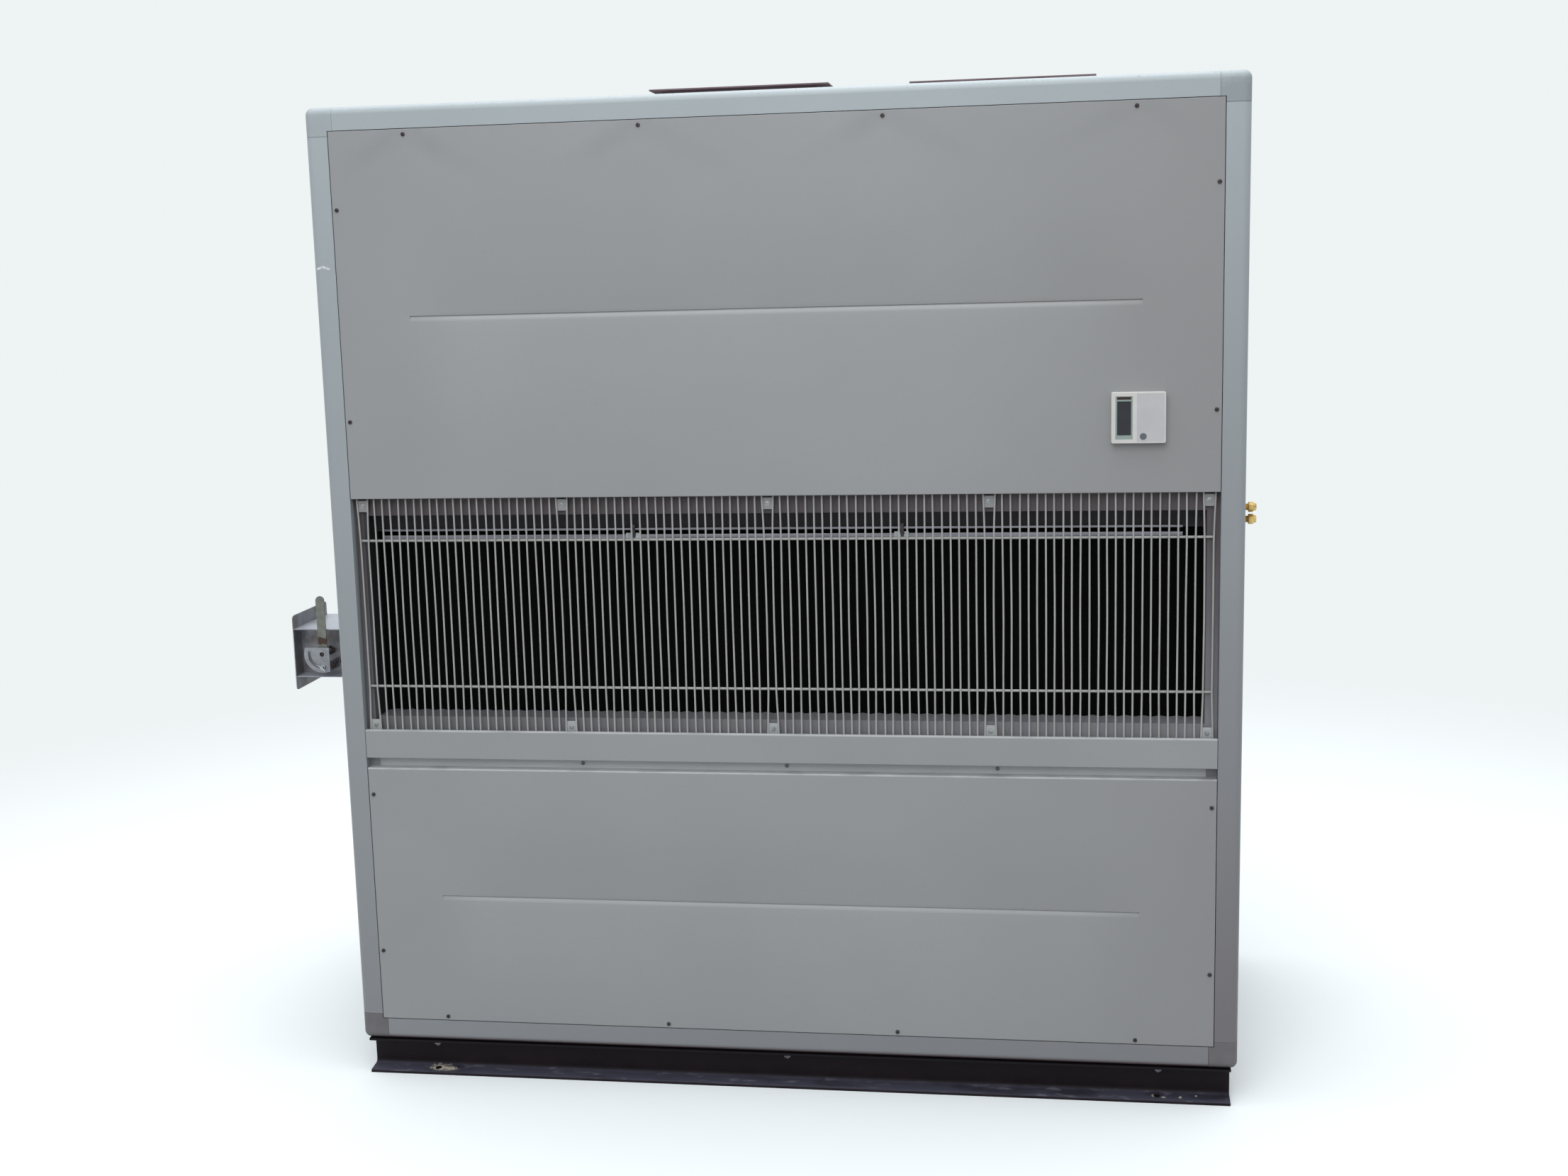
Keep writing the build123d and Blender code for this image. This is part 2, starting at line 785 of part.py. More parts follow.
def damper_quadrant():
    """Sector plate in front of the lever, its arc slot round the stud, on a foot at the right."""
    level = lever_level() + lever_thickness + quadrant_gap
    sector = Circle(quadrant_radius)
    limit = 2 * quadrant_radius
    sector &= Pos((quadrant_right - limit) / 2, (quadrant_top - limit) / 2) * Rectangle(
        limit + quadrant_right, limit + quadrant_top)
    start = 180 - slot_overrun
    sweep = damper_travel + 2 * slot_overrun
    arc = CenterArc((0, 0), slot_radius, start, sweep)
    sector -= SlotArc(arc, slot_width)
    sector -= Circle(quadrant_hole_radius)
    plate = Pos(0, 0, level) * extrude(sector, amount=quadrant_thickness)
    bottom = -(quadrant_radius ** 2 - quadrant_right ** 2) ** 0.5
    edge = (quadrant_right - quadrant_thickness, quadrant_right)
    plate += block(edge, (bottom, -foot_top), (0, level + quadrant_thickness))
    plate += block((edge[0], quadrant_right + foot_reach), (bottom, -foot_top), (0, quadrant_thickness))
    return in_front_of_duct(plate)


# Room controller


def controller_place():
    """Middle of the controller in front-face coordinates."""
    return Pos(half_width - controller_from_right, upper_bottom + controller_up, 0)


def display_window():
    """Rectangle of the display in the left part of the controller, about its middle."""
    width = controller_split - 2 * display_margin
    height = controller_height - 2 * display_margin
    middle_x = (controller_split - controller_width) / 2
    return Pos(middle_x, 0) * Rectangle(width, height)


def flap_area():
    """Rectangle of the flap in the right part of the controller, about its middle."""
    width = controller_width - controller_split - flap_margin
    height = controller_height - 2 * flap_margin
    return Pos((controller_split - flap_margin) / 2, 0) * Rectangle(width, height)


def controller_body():
    """Moulded case with rounded edges, a recess for the display and a seat for the flap."""
    base = RectangleRounded(controller_width, controller_height, controller_radius)
    body = extrude(base, amount=controller_thickness)
    body = fillet(body.faces().sort_by(Axis.Z)[-1].edges(), controller_edge_radius)
    front = Pos(0, 0, controller_thickness)
    body -= front * extrude(display_window(), amount=-display_recess)
    body -= front * extrude(flap_area(), amount=-flap_thickness)
    return FRONT * (controller_place() * body)


def controller_display():
    """Display glass on the floor of its recess."""
    level = controller_thickness - display_recess
    return FRONT * (controller_place() * Pos(0, 0, level) * extrude(display_window(), amount=display_thickness))


def controller_flap():
    """Flap over the keys, with a hole for the round button."""
    level = controller_thickness - flap_thickness
    flap = extrude(flap_area(), amount=flap_thickness)
    flap -= button_place() * Cylinder(button_radius, 4 * flap_thickness)
    return FRONT * (controller_place() * Pos(0, 0, level) * flap)


def button_place():
    """Middle of the round button, about the middle of the controller."""
    x = controller_split - controller_width / 2 + button_from_split
    return Pos(x, button_from_bottom - controller_height / 2, 0)


def controller_button():
    """Round button that stands a little proud of the flap."""
    length = flap_thickness + button_height
    button = extrude(Circle(button_radius), amount=length)
    button = chamfer(button.edges().sort_by(Axis.Z)[-1:], button_height / 2)
    level = controller_thickness - flap_thickness
    return FRONT * (controller_place() * Pos(0, 0, level) * button_place() * button)


# Pipe fittings


def fitting_place():
    """Middle of the fittings in right-face coordinates."""
    return Pos(-half_depth + fitting_setback, cabinet_bottom + fitting_height, 0)


def fitting_plate():
    """Small cover plate behind the fittings."""
    plate = RectangleRounded(fitting_plate_width, fitting_plate_height, fitting_plate_radius)
    return RIGHT * (fitting_place() * extrude(plate, amount=sheet_thickness))


def pipe_fittings():
    """Two brass unions: round base, hexagon body, neck and hexagon cap."""
    steps = [
        (Circle(fitting_base_radius), fitting_base_length),
        (RegularPolygon(fitting_hex / 2, 6, major_radius=False), fitting_hex_length),
        (Circle(fitting_neck_radius), fitting_neck_length),
        (RegularPolygon(fitting_cap_hex / 2, 6, major_radius=False), fitting_cap_length),
    ]
    union = Part()
    level = sheet_thickness
    for section, length in steps:
        union += Pos(0, 0, level) * extrude(section, amount=length)
        level += length
    return [
        RIGHT * (fitting_place() * Pos(0, side * fitting_spacing / 2, 0) * union)
        for side in (-1, 1)
    ]


def all_nodes():
    """Every node of the part by name; a list holds the separate solids of one node."""
    lower = side_levels(False)
    upper = side_levels(True)
    side = side_span()
    across = half_width - profile_face
    return {
        "base_front_channel": long_channel(-1),
        "base_back_channel": long_channel(1),
        "base_cross_channels": cross_channels(),
        "front_left_post": post(-1, -1),
        "front_right_post": post(1, -1),
        "back_posts": [post(-1, 1), post(1, 1)],
        "top_front_rail": long_rail(-1, 1),
        "top_back_rail": long_rail(1, 1),
        "top_side_rails": side_rails(1),
        "bottom_front_rail": long_rail(-1, -1),
        "bottom_back_rail": long_rail(1, -1),
        "bottom_side_rails": side_rails(-1),
        "top_corner_castings": castings(1),
        "bottom_corner_castings": castings(-1),
        "middle_rails": middle_rails(),
        "upper_front_panel": front_panel(upper_bottom - panel_gap, upper_top),
        "lower_front_panel": front_panel(lower_bottom, lower_top + panel_gap),
        "left_upper_panel": left_upper_panel(),
        "left_lower_panel": LEFT * panel(side, *lower),
        "right_upper_panel": RIGHT * panel(side, *upper),
        "right_lower_panel": RIGHT * panel(side, *lower),
        "back_upper_panel": BACK * panel(across, *upper),
        "back_lower_panel": BACK * panel(across, *lower),
        "top_panel": top_panel(),
        "floor_panel": FLOOR * panel(across, -side, side),
        "grille_sill": grille_sill(),
        "recess_strip": recess_strip(),
        "grille_surround": grille_surround(),
        "return_grille": return_grille(),
        "grille_tabs": grille_tabs(),
        "air_filter": air_filter(),
        "filter_rail": filter_rail(),
        "left_outlet_collar": outlet_collar(-1),
        "right_outlet_collar": outlet_collar(1),
        "fan_wrappers": [fan_wrapper(-1), fan_wrapper(1)],
        "fan_side_plates": [fan_side_plate(side, end) for side in (-1, 1) for end in (-1, 1)],
        "fan_wheels": [fan_wheel(-1), fan_wheel(1)],
        "fan_shaft": fan_shaft(),
        "damper_frame": damper_frame(),
        "damper_quadrant": damper_quadrant(),
        "damper_blade": damper_blade(),
        "damper_lever": damper_lever(),
        "controller_body": controller_body(),
        "controller_display": controller_display(),
        "controller_flap": controller_flap(),
        "controller_button": controller_button(),
        "fitting_plate": fitting_plate(),
        "pipe_fittings": pipe_fittings(),
    }


def main():
    os.makedirs("parts", exist_ok=True)
    for name, shape in all_nodes().items():
        solids = shape if isinstance(shape, list) else [shape]
        node = Compound(children=solids) if len(solids) > 1 else solids[0]
        export_step(node, "parts/" + name + ".step")


main()
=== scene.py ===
import json
import math
from random import Random

import bmesh
import bpy
from bpy.props import FloatProperty, FloatVectorProperty, IntProperty, PointerProperty
from bpy.types import NodeSocket, Operator, Panel, PropertyGroup
from mathutils import Matrix, Vector


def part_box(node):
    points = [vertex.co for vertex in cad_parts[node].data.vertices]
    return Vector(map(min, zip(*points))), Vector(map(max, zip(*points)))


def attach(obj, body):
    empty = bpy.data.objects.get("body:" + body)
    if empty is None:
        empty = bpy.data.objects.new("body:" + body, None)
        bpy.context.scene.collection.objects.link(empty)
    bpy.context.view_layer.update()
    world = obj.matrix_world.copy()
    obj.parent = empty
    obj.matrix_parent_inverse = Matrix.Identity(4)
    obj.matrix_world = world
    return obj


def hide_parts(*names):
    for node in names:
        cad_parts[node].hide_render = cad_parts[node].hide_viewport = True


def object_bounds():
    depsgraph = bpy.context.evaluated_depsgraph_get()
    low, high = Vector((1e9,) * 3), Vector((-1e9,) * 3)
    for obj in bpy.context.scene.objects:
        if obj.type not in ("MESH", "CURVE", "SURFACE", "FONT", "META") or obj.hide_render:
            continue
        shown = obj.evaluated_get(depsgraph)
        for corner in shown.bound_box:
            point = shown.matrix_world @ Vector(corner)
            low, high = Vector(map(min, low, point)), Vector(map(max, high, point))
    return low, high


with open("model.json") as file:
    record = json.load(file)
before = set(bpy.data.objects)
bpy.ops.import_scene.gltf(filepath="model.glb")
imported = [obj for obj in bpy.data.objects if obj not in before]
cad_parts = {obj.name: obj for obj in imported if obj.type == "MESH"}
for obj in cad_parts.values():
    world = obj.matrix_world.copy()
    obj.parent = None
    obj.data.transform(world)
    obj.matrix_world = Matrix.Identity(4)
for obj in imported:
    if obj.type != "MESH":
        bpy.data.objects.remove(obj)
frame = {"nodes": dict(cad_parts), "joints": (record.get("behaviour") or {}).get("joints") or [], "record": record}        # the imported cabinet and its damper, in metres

bl_info = {
    "name": "Ducted Air Conditioner",
    "version": (1, 0, 0),
    "blender": (4, 5, 0),
    "location": "View3D > Sidebar > Air Conditioner",
    "description": "Fasteners, grille wires, finishes and studio for a floor-standing ducted "
                   "air conditioner",
    "category": "Add Mesh",
}

CAD_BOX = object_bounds()
MM = 0.001
CABINET = "cabinet"
DAMPER = "fresh_air_damper"
PIVOT = Vector(frame["joints"][0]["pos_m"])

FRONT = Vector((0, -1, 0))
BACK = Vector((0, 1, 0))
LEFT = Vector((-1, 0, 0))
RIGHT = Vector((1, 0, 0))
UP = Vector((0, 0, 1))
DOWN = Vector((0, 0, -1))

ALIGNED = 0.9                     # least cosine between two ways that count as one
LEVEL = 0.1                       # most slope of an edge that counts as level
SMOOTH_ANGLE = math.radians(35)   # sharper edges stay sharp


def linear(code):
    """Linear red, green and blue of an sRGB hex value, with full alpha."""
    parts = [int(code[i:i + 2], 16) / 255 for i in (1, 3, 5)]
    return tuple(c / 12.92 if c <= 0.04045 else ((c + 0.055) / 1.055) ** 2.4 for c in parts) + (1,)


def mm(x, y, z):
    """Vector of three lengths in millimetres."""
    return Vector((x, y, z)) * MM


def length(name, description, millimetres):
    """Length setting with its default in millimetres."""
    return FloatProperty(name=name, description=description, default=millimetres * MM, unit="LENGTH",
                         precision=4)


def colour(name, description, code):
    """Colour setting with an sRGB hex default."""
    return FloatVectorProperty(name=name, description=description, subtype="COLOR", size=3, min=0, max=1,
                               default=linear(code)[:3])


class CabinetSizes(PropertyGroup):
    """Sizes of the small pieces that dress the cabinet"""

    screw_radius: length("Screw Head", "Radius of a panel screw's head", 4.3)
    screw_height: length("Screw Height", "Height of a panel screw's head", 2.4)
    tab_screw_radius: length("Tab Screw Head", "Radius of the screws in the grille tabs", 4.0)
    screw_inset: length("Screw Inset", "Screws of the sides, back and top from the panel's edge", 11.0)
    wire_size: length("Wire", "Thickness of an upright grille wire", 3.8)
    wire_count: IntProperty(name="Wires", description="Upright wires of the grille", default=103, min=2)
    wire_play: length("Wire Play", "How far a wire strays from straight", 1.5)
    tab_bend: length("Tab Bend", "How far the ends of a wire bend aside at a tab", 3.2)
    bar_size: length("Bar", "Thickness of the two level grille bars", 5.5)
    bar_from_end: length("Bar Inset", "Upper bar from the upper ends of the wires", 90.5)
    low_bar_from_end: length("Low Bar Inset", "Lower bar from the lower ends of the wires", 110.0)
    tab_count: IntProperty(name="Tabs", description="Screw tabs along each edge", default=5, min=2)
    nut_width: length("Base Nut", "Width across flats of the nuts under the base flange", 13.0)
    union_cap: length("Union Cap", "Width across flats of a pipe union's cap", 19.0)
    lens: FloatProperty(name="Lens", description="Focal length on a 36 mm sensor", default=42.33)


class CabinetColours(PropertyGroup):
    """Colours of the finishes"""

    panel: colour("Panels", "Powder coat of the sheet panels", "#969899")
    frame: colour("Frame", "Powder coat of the frame extrusions", "#A5AFB3")
    grime: colour("Grime", "Dirt that dulls the frame towards the floor", "#726F72")
    # The ledge's grey is darker than the panels': painted shade of the grille's recess
    ledge: colour("Ledge", "Dusty sheet behind the grille", "#84848A")
    # Grime: darkens the frame towards the floor together with painted shade, the bottom castings, and some
    # sheets towards the right
    wire: colour("Wires", "Coat of the grille wires", "#A5A7A3")
    base: colour("Base", "Enamel of the channel base", "#170F16")
    zinc: colour("Galvanised", "Zinc of the damper's sheet", "#9A9DA4")
    collar: colour("Collars", "Primer of the outlet collars", "#6B5A60")
    brass: colour("Brass", "Pipe unions", "#D2B676")
    case: colour("Controller", "Case of the room controller", "#D0CFCC")
    flap: colour("Flap", "Flap of the room controller", "#BEBEC0")
    floor: colour("Floor", "Studio floor and backdrop", "#EEF3F4")


# Modelling by operators


def deselect():
    """Back to object mode with nothing selected."""
    if bpy.context.mode != "OBJECT":
        bpy.ops.object.mode_set(mode="OBJECT")
    bpy.ops.object.select_all(action="DESELECT")


def pick(pieces):
    """Object mode with only these pieces selected, and the first of them active."""
    deselect()
    for piece in pieces:
        piece.select_set(True)
    bpy.context.view_layer.objects.active = pieces[0]


def named(piece, name):
    """Names a piece and its mesh."""
    piece.name = name
    piece.data.name = name
    return piece


def apply_place():
    """Moves the new primitive's place into its mesh."""
    bpy.ops.object.transform_apply(location=True, rotation=True, scale=True)
    return bpy.context.active_object


def new_block(low, high):
    """Block between two corners."""
    deselect()
    low, high = Vector(low), Vector(high)
    bpy.ops.mesh.primitive_cube_add(size=1, location=(low + high) / 2, scale=high - low)
    return apply_place()


def new_rod(start, end, radius, sides):
    """Round or many-sided rod from start to end."""
    deselect()
    start, end = Vector(start), Vector(end)
    axis = end - start
    bpy.ops.mesh.primitive_cylinder_add(
        vertices=sides, radius=radius, depth=axis.length, location=(start + end) / 2,
        rotation=axis.to_track_quat("Z", "Y").to_euler())
    return apply_place()


def edit_faces(piece, wanted):
    """Edit mode with the faces selected whose middle and normal pass a test."""
    pick([piece])
    bpy.ops.object.mode_set(mode="EDIT")
    bpy.ops.mesh.select_mode(type="FACE")
    bpy.ops.mesh.select_all(action="DESELECT")
    mesh = bmesh.from_edit_mesh(piece.data)
    for face in mesh.faces:
        face.select_set(wanted(face.calc_center_median(), face.normal))
    bmesh.update_edit_mesh(piece.data)


def edit_edges(piece, wanted):
    """Edit mode with the edges selected whose middle and direction pass a test."""
    edit_faces(piece, lambda middle, normal: False)
    bpy.ops.mesh.select_mode(type="EDGE")
    mesh = bmesh.from_edit_mesh(piece.data)
    for edge in mesh.edges:
        a, b = (vertex.co for vertex in edge.verts)
        edge.select_set(wanted((a + b) / 2, (b - a).normalized()))
    bmesh.update_edit_mesh(piece.data)


def facing(outward):
    """Test for faces that look one way."""
    return lambda middle, normal: normal.dot(outward) > ALIGNED


def edges_along(axis):
    """Test for edges that run along an axis."""
    return lambda middle, way: abs(way.dot(axis)) > ALIGNED


def level_edges(above=-math.inf):
    """Test for level edges above a height."""
    return lambda middle, way: middle.z > above and abs(way.z) < LEVEL


def round_edges(piece, wanted, offset, segments=2):
    """Bevels the edges that pass a test."""
    edit_edges(piece, wanted)
    bpy.ops.mesh.bevel(offset=offset, segments=segments, affect="EDGES")
    deselect()


def extrude_faces(piece, outward, move):
    """Extrudes the faces that look one way, and stays in edit mode with the new ones selected."""
    edit_faces(piece, facing(outward))
    bpy.ops.mesh.extrude_region_move(TRANSFORM_OT_translate={"value": move})


def sink_front(piece, rim, depth):
    """Sinks the front face within a rim."""
    edit_faces(piece, facing(FRONT))
    bpy.ops.mesh.inset(thickness=rim, depth=-depth)
    deselect()


def join(pieces, name="pattern"):
    """One piece of several, smooth but for its sharp edges."""
    pick(pieces)
    if len(pieces) > 1:
        bpy.ops.object.join()
    joined = named(bpy.context.active_object, name)
    bpy.ops.object.shade_smooth_by_angle(angle=SMOOTH_ANGLE)
    deselect()
    return joined


def cut(piece, cutter):
    """Takes a cutter out of a piece, and removes it."""
    pick([piece])
    bpy.ops.object.modifier_add(type="BOOLEAN")
    modifier = piece.modifiers[-1]
    modifier.operation = "DIFFERENCE"
    modifier.object = cutter
    bpy.ops.object.modifier_apply(modifier=modifier.name)
    bpy.data.objects.remove(cutter)


def duplicate(pattern):
    """Copy of a pattern with its own mesh."""
    copy = pattern.copy()
    copy.data = pattern.data.copy()
    bpy.context.collection.objects.link(copy)
    return copy


def copies(pattern, places):
    """Copies of a pattern at places, each with its Z axis along its own direction."""
    made = []
    for place, outward in places:
        copy = duplicate(pattern)
        turn = outward.to_track_quat("Z", "Y").to_matrix().to_4x4()
        copy.data.transform(Matrix.Translation(place) @ turn)
        made.append(copy)
    bpy.data.objects.remove(pattern)
    return made


def finish_of(node):
    """Finish that a node of the cabinet has."""
    return frame["nodes"][node].data.materials[0]


def finish_piece(pieces, name, material, body=CABINET):
    """Joins pieces into a named one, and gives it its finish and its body."""
    piece = join(pieces, name)
    piece.data.materials.clear()
    piece.data.materials.append(material)
    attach(piece, body)
    return piece


# Patterns for the fasteners, each on the XY plane with its head along +Z


def cross_screw(radius, height):
    """Pan-head screw with a cross recess."""
    screw = new_rod((0, 0, 0), (0, 0, height), radius, 20)
    round_edges(screw, level_edges(0.9 * height), 0.45 * height)
    arm, half, floor = 0.62 * radius, 0.14 * radius, 0.45 * height
    cut(screw, new_block((-arm, -half, floor), (arm, half, 2 * height)))
    cut(screw, new_block((-half, -arm, floor), (half, arm, 2 * height)))
    return screw


def hex_nut(width, height, start=0.0):
    """Hexagon nut with chamfered corners, from start along +Z."""
    corner = width / math.sqrt(3)
    nut = new_rod((0, 0, start), (0, 0, start + height), corner, 6)
    round_edges(nut, level_edges(), 0.1 * height)
    return nut


def washer(radius, height):
    """Flat washer with a broken rim."""
    ring = new_rod((0, 0, 0), (0, 0, height), radius, 24)
    round_edges(ring, level_edges(0.9 * height), 0.35 * height)
    return ring


def bolt_end(radius, start, end):
    """Threaded end: turned-in rings between two levels, with a chamfered tip."""
    turns = 4
    root = 0.86
    pitch = (end - start) / (2 * turns)
    rod = new_rod((0, 0, start), (0, 0, end), radius, 14)
    edit_edges(rod, edges_along(UP))
    bpy.ops.mesh.subdivide(number_cuts=2 * turns - 1)
    edit_edges(rod, lambda middle, way: abs(way.z) < LEVEL and round((middle.z - start) / pitch) % 2 == 1)
    bpy.ops.transform.resize(value=(root, root, 1), center_override=(0, 0, (start + end) / 2))
    round_edges(rod, level_edges(end - 0.1 * pitch), 0.25 * radius, 1)
    return rod


def wing_nut(turn):
    """Wing nut on a washer: a tapered hub with two raised wings, turned about the stud."""
    seat, top = 1.2 * MM, 8 * MM
    hub = new_rod((0, 0, seat), (0, 0, top), 5 * MM, 16)
    edit_faces(hub, facing(UP))
    bpy.ops.transform.resize(value=(0.75, 0.75, 1), center_override=(0, 0, top))
    pieces = [washer(6.5 * MM, seat), hub]
    for side in (-1, 1):
        inner, outer = sorted((side * 3, side * 9))
        wing = new_block(mm(inner, -1.2, 2), mm(outer, 1.2, 8))
        extrude_faces(wing, side * RIGHT, mm(side * 5, 0, 4))
        round_edges(wing, lambda middle, way: abs(way.y) < 0.5, 0.6 * MM)
        pieces.append(wing)
    nut = join(pieces)
    nut.data.transform(Matrix.Rotation(turn, 4, "Z"))
    return nut


# Screws and nuts of the cabinet

TOP_SCREW_PITCH = 491 * MM
FRONT_SCREW_SIDE = 10 * MM
# Screws of each front panel: the edge with the row (0 low, 1 high), the row's distance from it, its
# middle and pitch, then the two screws on each upright edge, from the panel's top and from its bottom
FRONT_SCREWS = (
    ("upper_front_panel", 1, -11 * MM, -3 * MM, TOP_SCREW_PITCH, -159 * MM, 163 * MM),
    ("lower_front_panel", 0, 9 * MM, -5 * MM, 497 * MM, -59 * MM, 157 * MM),
)
# Other panels: the way they face and the screws along each of their first edges
RIM_SCREWS = (
    ("left_upper_panel", LEFT, 2), ("left_lower_panel", LEFT, 2), ("right_upper_panel", RIGHT, 2),
    ("right_lower_panel", RIGHT, 2), ("back_upper_panel", BACK, 4), ("back_lower_panel", BACK, 4),
    ("top_panel", UP, 4),
)
# Rows of screws on the strip and of nuts under the base: middle, pitch and count
STRIP_ROW = (16 * MM, 442 * MM, 3)
NUT_ROW = (2 * MM, 787 * MM, 3)
NUT_FROM_TOE = 20 * MM
FLANGE = 8 * MM


def row(middle, pitch, count):
    """Evenly spaced places about a middle."""
    return [middle + pitch * (i - (count - 1) / 2) for i in range(count)]


def front_screw_places():
    """Screws of the two front panels: a row along one edge and two on each upright edge."""
    places = []
    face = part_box("upper_front_panel")[0].y
    for node, edge, inset, middle, pitch, from_top, from_bottom in FRONT_SCREWS:
        low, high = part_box(node)
        level = (low, high)[edge].z + inset
        places += [(x, face, level) for x in row(middle, pitch, 4)]
        for x in (low.x + FRONT_SCREW_SIDE, high.x - FRONT_SCREW_SIDE):
            places += [(x, face, high.z + from_top), (x, face, low.z + from_bottom)]
    return [(Vector(place), FRONT) for place in places]


def rim_screw_places(node, outward, inset, count):
    """Screws round a panel's outer face: a row along two edges, two screws on each other edge."""
    low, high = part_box(node)
    normal = max(range(3), key=lambda axis: abs(outward[axis]))
    first, second = [axis for axis in range(3) if axis != normal]
    level = high[normal] if outward[normal] > 0 else low[normal]
    middle = (low + high) / 2
    span = high - low
    marks = []
    for b in (low[second] + inset, high[second] - inset):
        marks += [(a, b) for a in row(middle[first], span[first] / count, count)]
    for a in (low[first] + inset, high[first] - inset):
        marks += [(a, b) for b in row(middle[second], 0.55 * span[second], 2)]
    places = []
    for a, b in marks:
        place = Vector((0, 0, 0))
        place[normal], place[first], place[second] = level, a, b
        places.append((place, outward))
    return places


class CABINET_OT_panel_screws(Operator):
    """Cross-recess screws that hold the panels and the set-back strip"""

    bl_idname = "cabinet.panel_screws"
    bl_label = "Panel Screws"

    def execute(self, context):
        sizes = context.scene.cabinet_sizes
        on_panels = front_screw_places()
        for node, outward, count in RIM_SCREWS:
            on_panels += rim_screw_places(node, outward, sizes.screw_inset, count)
        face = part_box("recess_strip")[0].y
        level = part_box("lower_front_panel")[1].z + 11 * MM
        on_strip = [(Vector((x, face, level)), FRONT) for x in row(*STRIP_ROW)]
        for name, places, metal in (("panel_screws", on_panels, "blackened steel"),
                                    ("strip_screws", on_strip, "weathered zinc plate")):
            screws = copies(cross_screw(sizes.screw_radius, sizes.screw_height), places)
            finish_piece(screws, name, fastener_metal(metal))
        return {"FINISHED"}


class CABINET_OT_base_nuts(Operator):
    """Nuts and bolt ends under the upper flange of the long base channels"""

    bl_idname = "cabinet.base_nuts"
    bl_label = "Base Nuts"

    def execute(self, context):
        width = context.scene.cabinet_sizes.nut_width
        pattern = join([washer(0.75 * width, 1.5 * MM), hex_nut(width, 6 * MM, 1.5 * MM),
                        bolt_end(4 * MM, 7.5 * MM, 11 * MM)])
        places = []
        for node, toe in (("base_front_channel", 0), ("base_back_channel", 1)):
            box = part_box(node)
            y = box[toe].y + (1 - 2 * toe) * NUT_FROM_TOE
            flange_under = box[1].z - FLANGE
            places += [(Vector((x, y, flange_under)), DOWN) for x in row(*NUT_ROW)]
        finish_piece(copies(pattern, places), "base_nuts", fastener_metal("weathered zinc plate"))
        return {"FINISHED"}


# Return-air grille

TAB_HALF_WIDTH = 11 * MM
TAB_REACH = 12 * MM               # wires nearer to a tab than this bend aside
WELD_SINK = 0.2 * MM              # how far the wires sink into the bars
LIP_SHEET = 2 * MM
CLIP_PLACES = (-307 * MM, 262 * MM)


def wire_places():
    """Middle of each upright wire along X."""
    sizes = bpy.context.scene.cabinet_sizes
    low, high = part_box("return_grille")
    reach = (high.x - low.x - sizes.wire_size) / 2
    pitch = 2 * reach / (sizes.wire_count - 1)
    return row((low.x + high.x) / 2, pitch, sizes.wire_count)


def tab_places():
    """Middle of each screw tab along X: the nearest gap between two wires."""
    low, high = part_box("grille_tabs")
    count = bpy.context.scene.cabinet_sizes.tab_count
    wires = wire_places()
    gaps = [(a + b) / 2 for a, b in zip(wires, wires[1:])]
    wanted = row((low.x + high.x) / 2, (high.x - low.x - 2 * TAB_HALF_WIDTH) / (count - 1), count)
    return [min(gaps, key=lambda gap: abs(gap - x)) for x in wanted]


def bow_wire(wire, levels, shifts):
    """Bows a wire sideways, easing between the shifts at the given levels."""
    for vertex in wire.data.vertices:
        z = vertex.co.z
        for (z0, s0), (z1, s1) in zip(zip(levels, shifts), zip(levels[1:], shifts[1:])):
            if z0 <= z <= z1:
                share = (z - z0) / (z1 - z0)
                vertex.co.x += s0 + (s1 - s0) * share * share * (3 - 2 * share)
                break


class CABINET_OT_grille_wires(Operator):
    """Upright wires of the return-air grille, each a little bowed, on two level bars"""

    bl_idname = "cabinet.grille_wires"
    bl_label = "Grille Wires"

    def execute(self, context):
        sizes = context.scene.cabinet_sizes
        low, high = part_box("return_grille")
        bar_y = high.y - sizes.bar_size / 2
        wire_y = bar_y - (sizes.bar_size + sizes.wire_size) / 2 + WELD_SINK
        bottom, top = low.z, high.z
        bar_low = bottom + sizes.low_bar_from_end
        bar_high = top - sizes.bar_from_end
        pattern = new_rod((0, wire_y, bottom), (0, wire_y, top), sizes.wire_size / 2, 8)
        edit_edges(pattern, edges_along(UP))
        bpy.ops.mesh.subdivide(number_cuts=9)
        round_edges(pattern, level_edges(top - MM), 0.8 * MM, 1)
        tabs = tab_places()
        draw = Random(12)
        levels = (bottom, bar_low, (bar_low + bar_high) / 2, bar_high, top)
        wires = []
        for x in wire_places():
            play = [draw.uniform(-1, 1) * sizes.wire_play for _ in levels]
            weld = 0.4 * play[1]
            shifts = [weld + play[0], weld, weld + 0.8 * play[2], weld, weld + 0.7 * play[4]]
            for tab in tabs:
                if abs(tab - x) < TAB_REACH:
                    shifts[0] = shifts[4] = math.copysign(sizes.tab_bend, x - tab)
            wire = duplicate(pattern)
            bow_wire(wire, levels, shifts)
            wire.data.transform(Matrix.Translation((x, 0, 0)))
            wires.append(wire)
        bpy.data.objects.remove(pattern)
        for level in (bar_low, bar_high):
            bar = new_rod((low.x, bar_y, level), (high.x, bar_y, level), sizes.bar_size / 2, 12)
            round_edges(bar, lambda middle, way: abs(way.x) < LEVEL, 0.8 * MM)
            wires.append(bar)
        grille = finish_piece(wires, "grille_wires", finish_of("return_grille"))
        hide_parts("return_grille")
        return {"FINISHED"}


def filter_lip(rail_low, rail_high, web, bottom, top):
    """Lip of the filter rail: a rounded front that narrows back to the web."""
    lip = new_block((rail_low.x + 14 * MM, rail_low.y, bottom),
                    (rail_high.x, rail_low.y + LIP_SHEET, top))
    extrude_faces(lip, BACK, (0, web - rail_low.y - LIP_SHEET, 0))
    bpy.ops.transform.resize(value=(1, 1, 0.5), center_override=(0, web, (bottom + top) / 2))
    round_edges(lip, lambda middle, way: abs(way.x) > ALIGNED and middle.y < rail_low.y + MM, 0.8 * MM)
    return lip


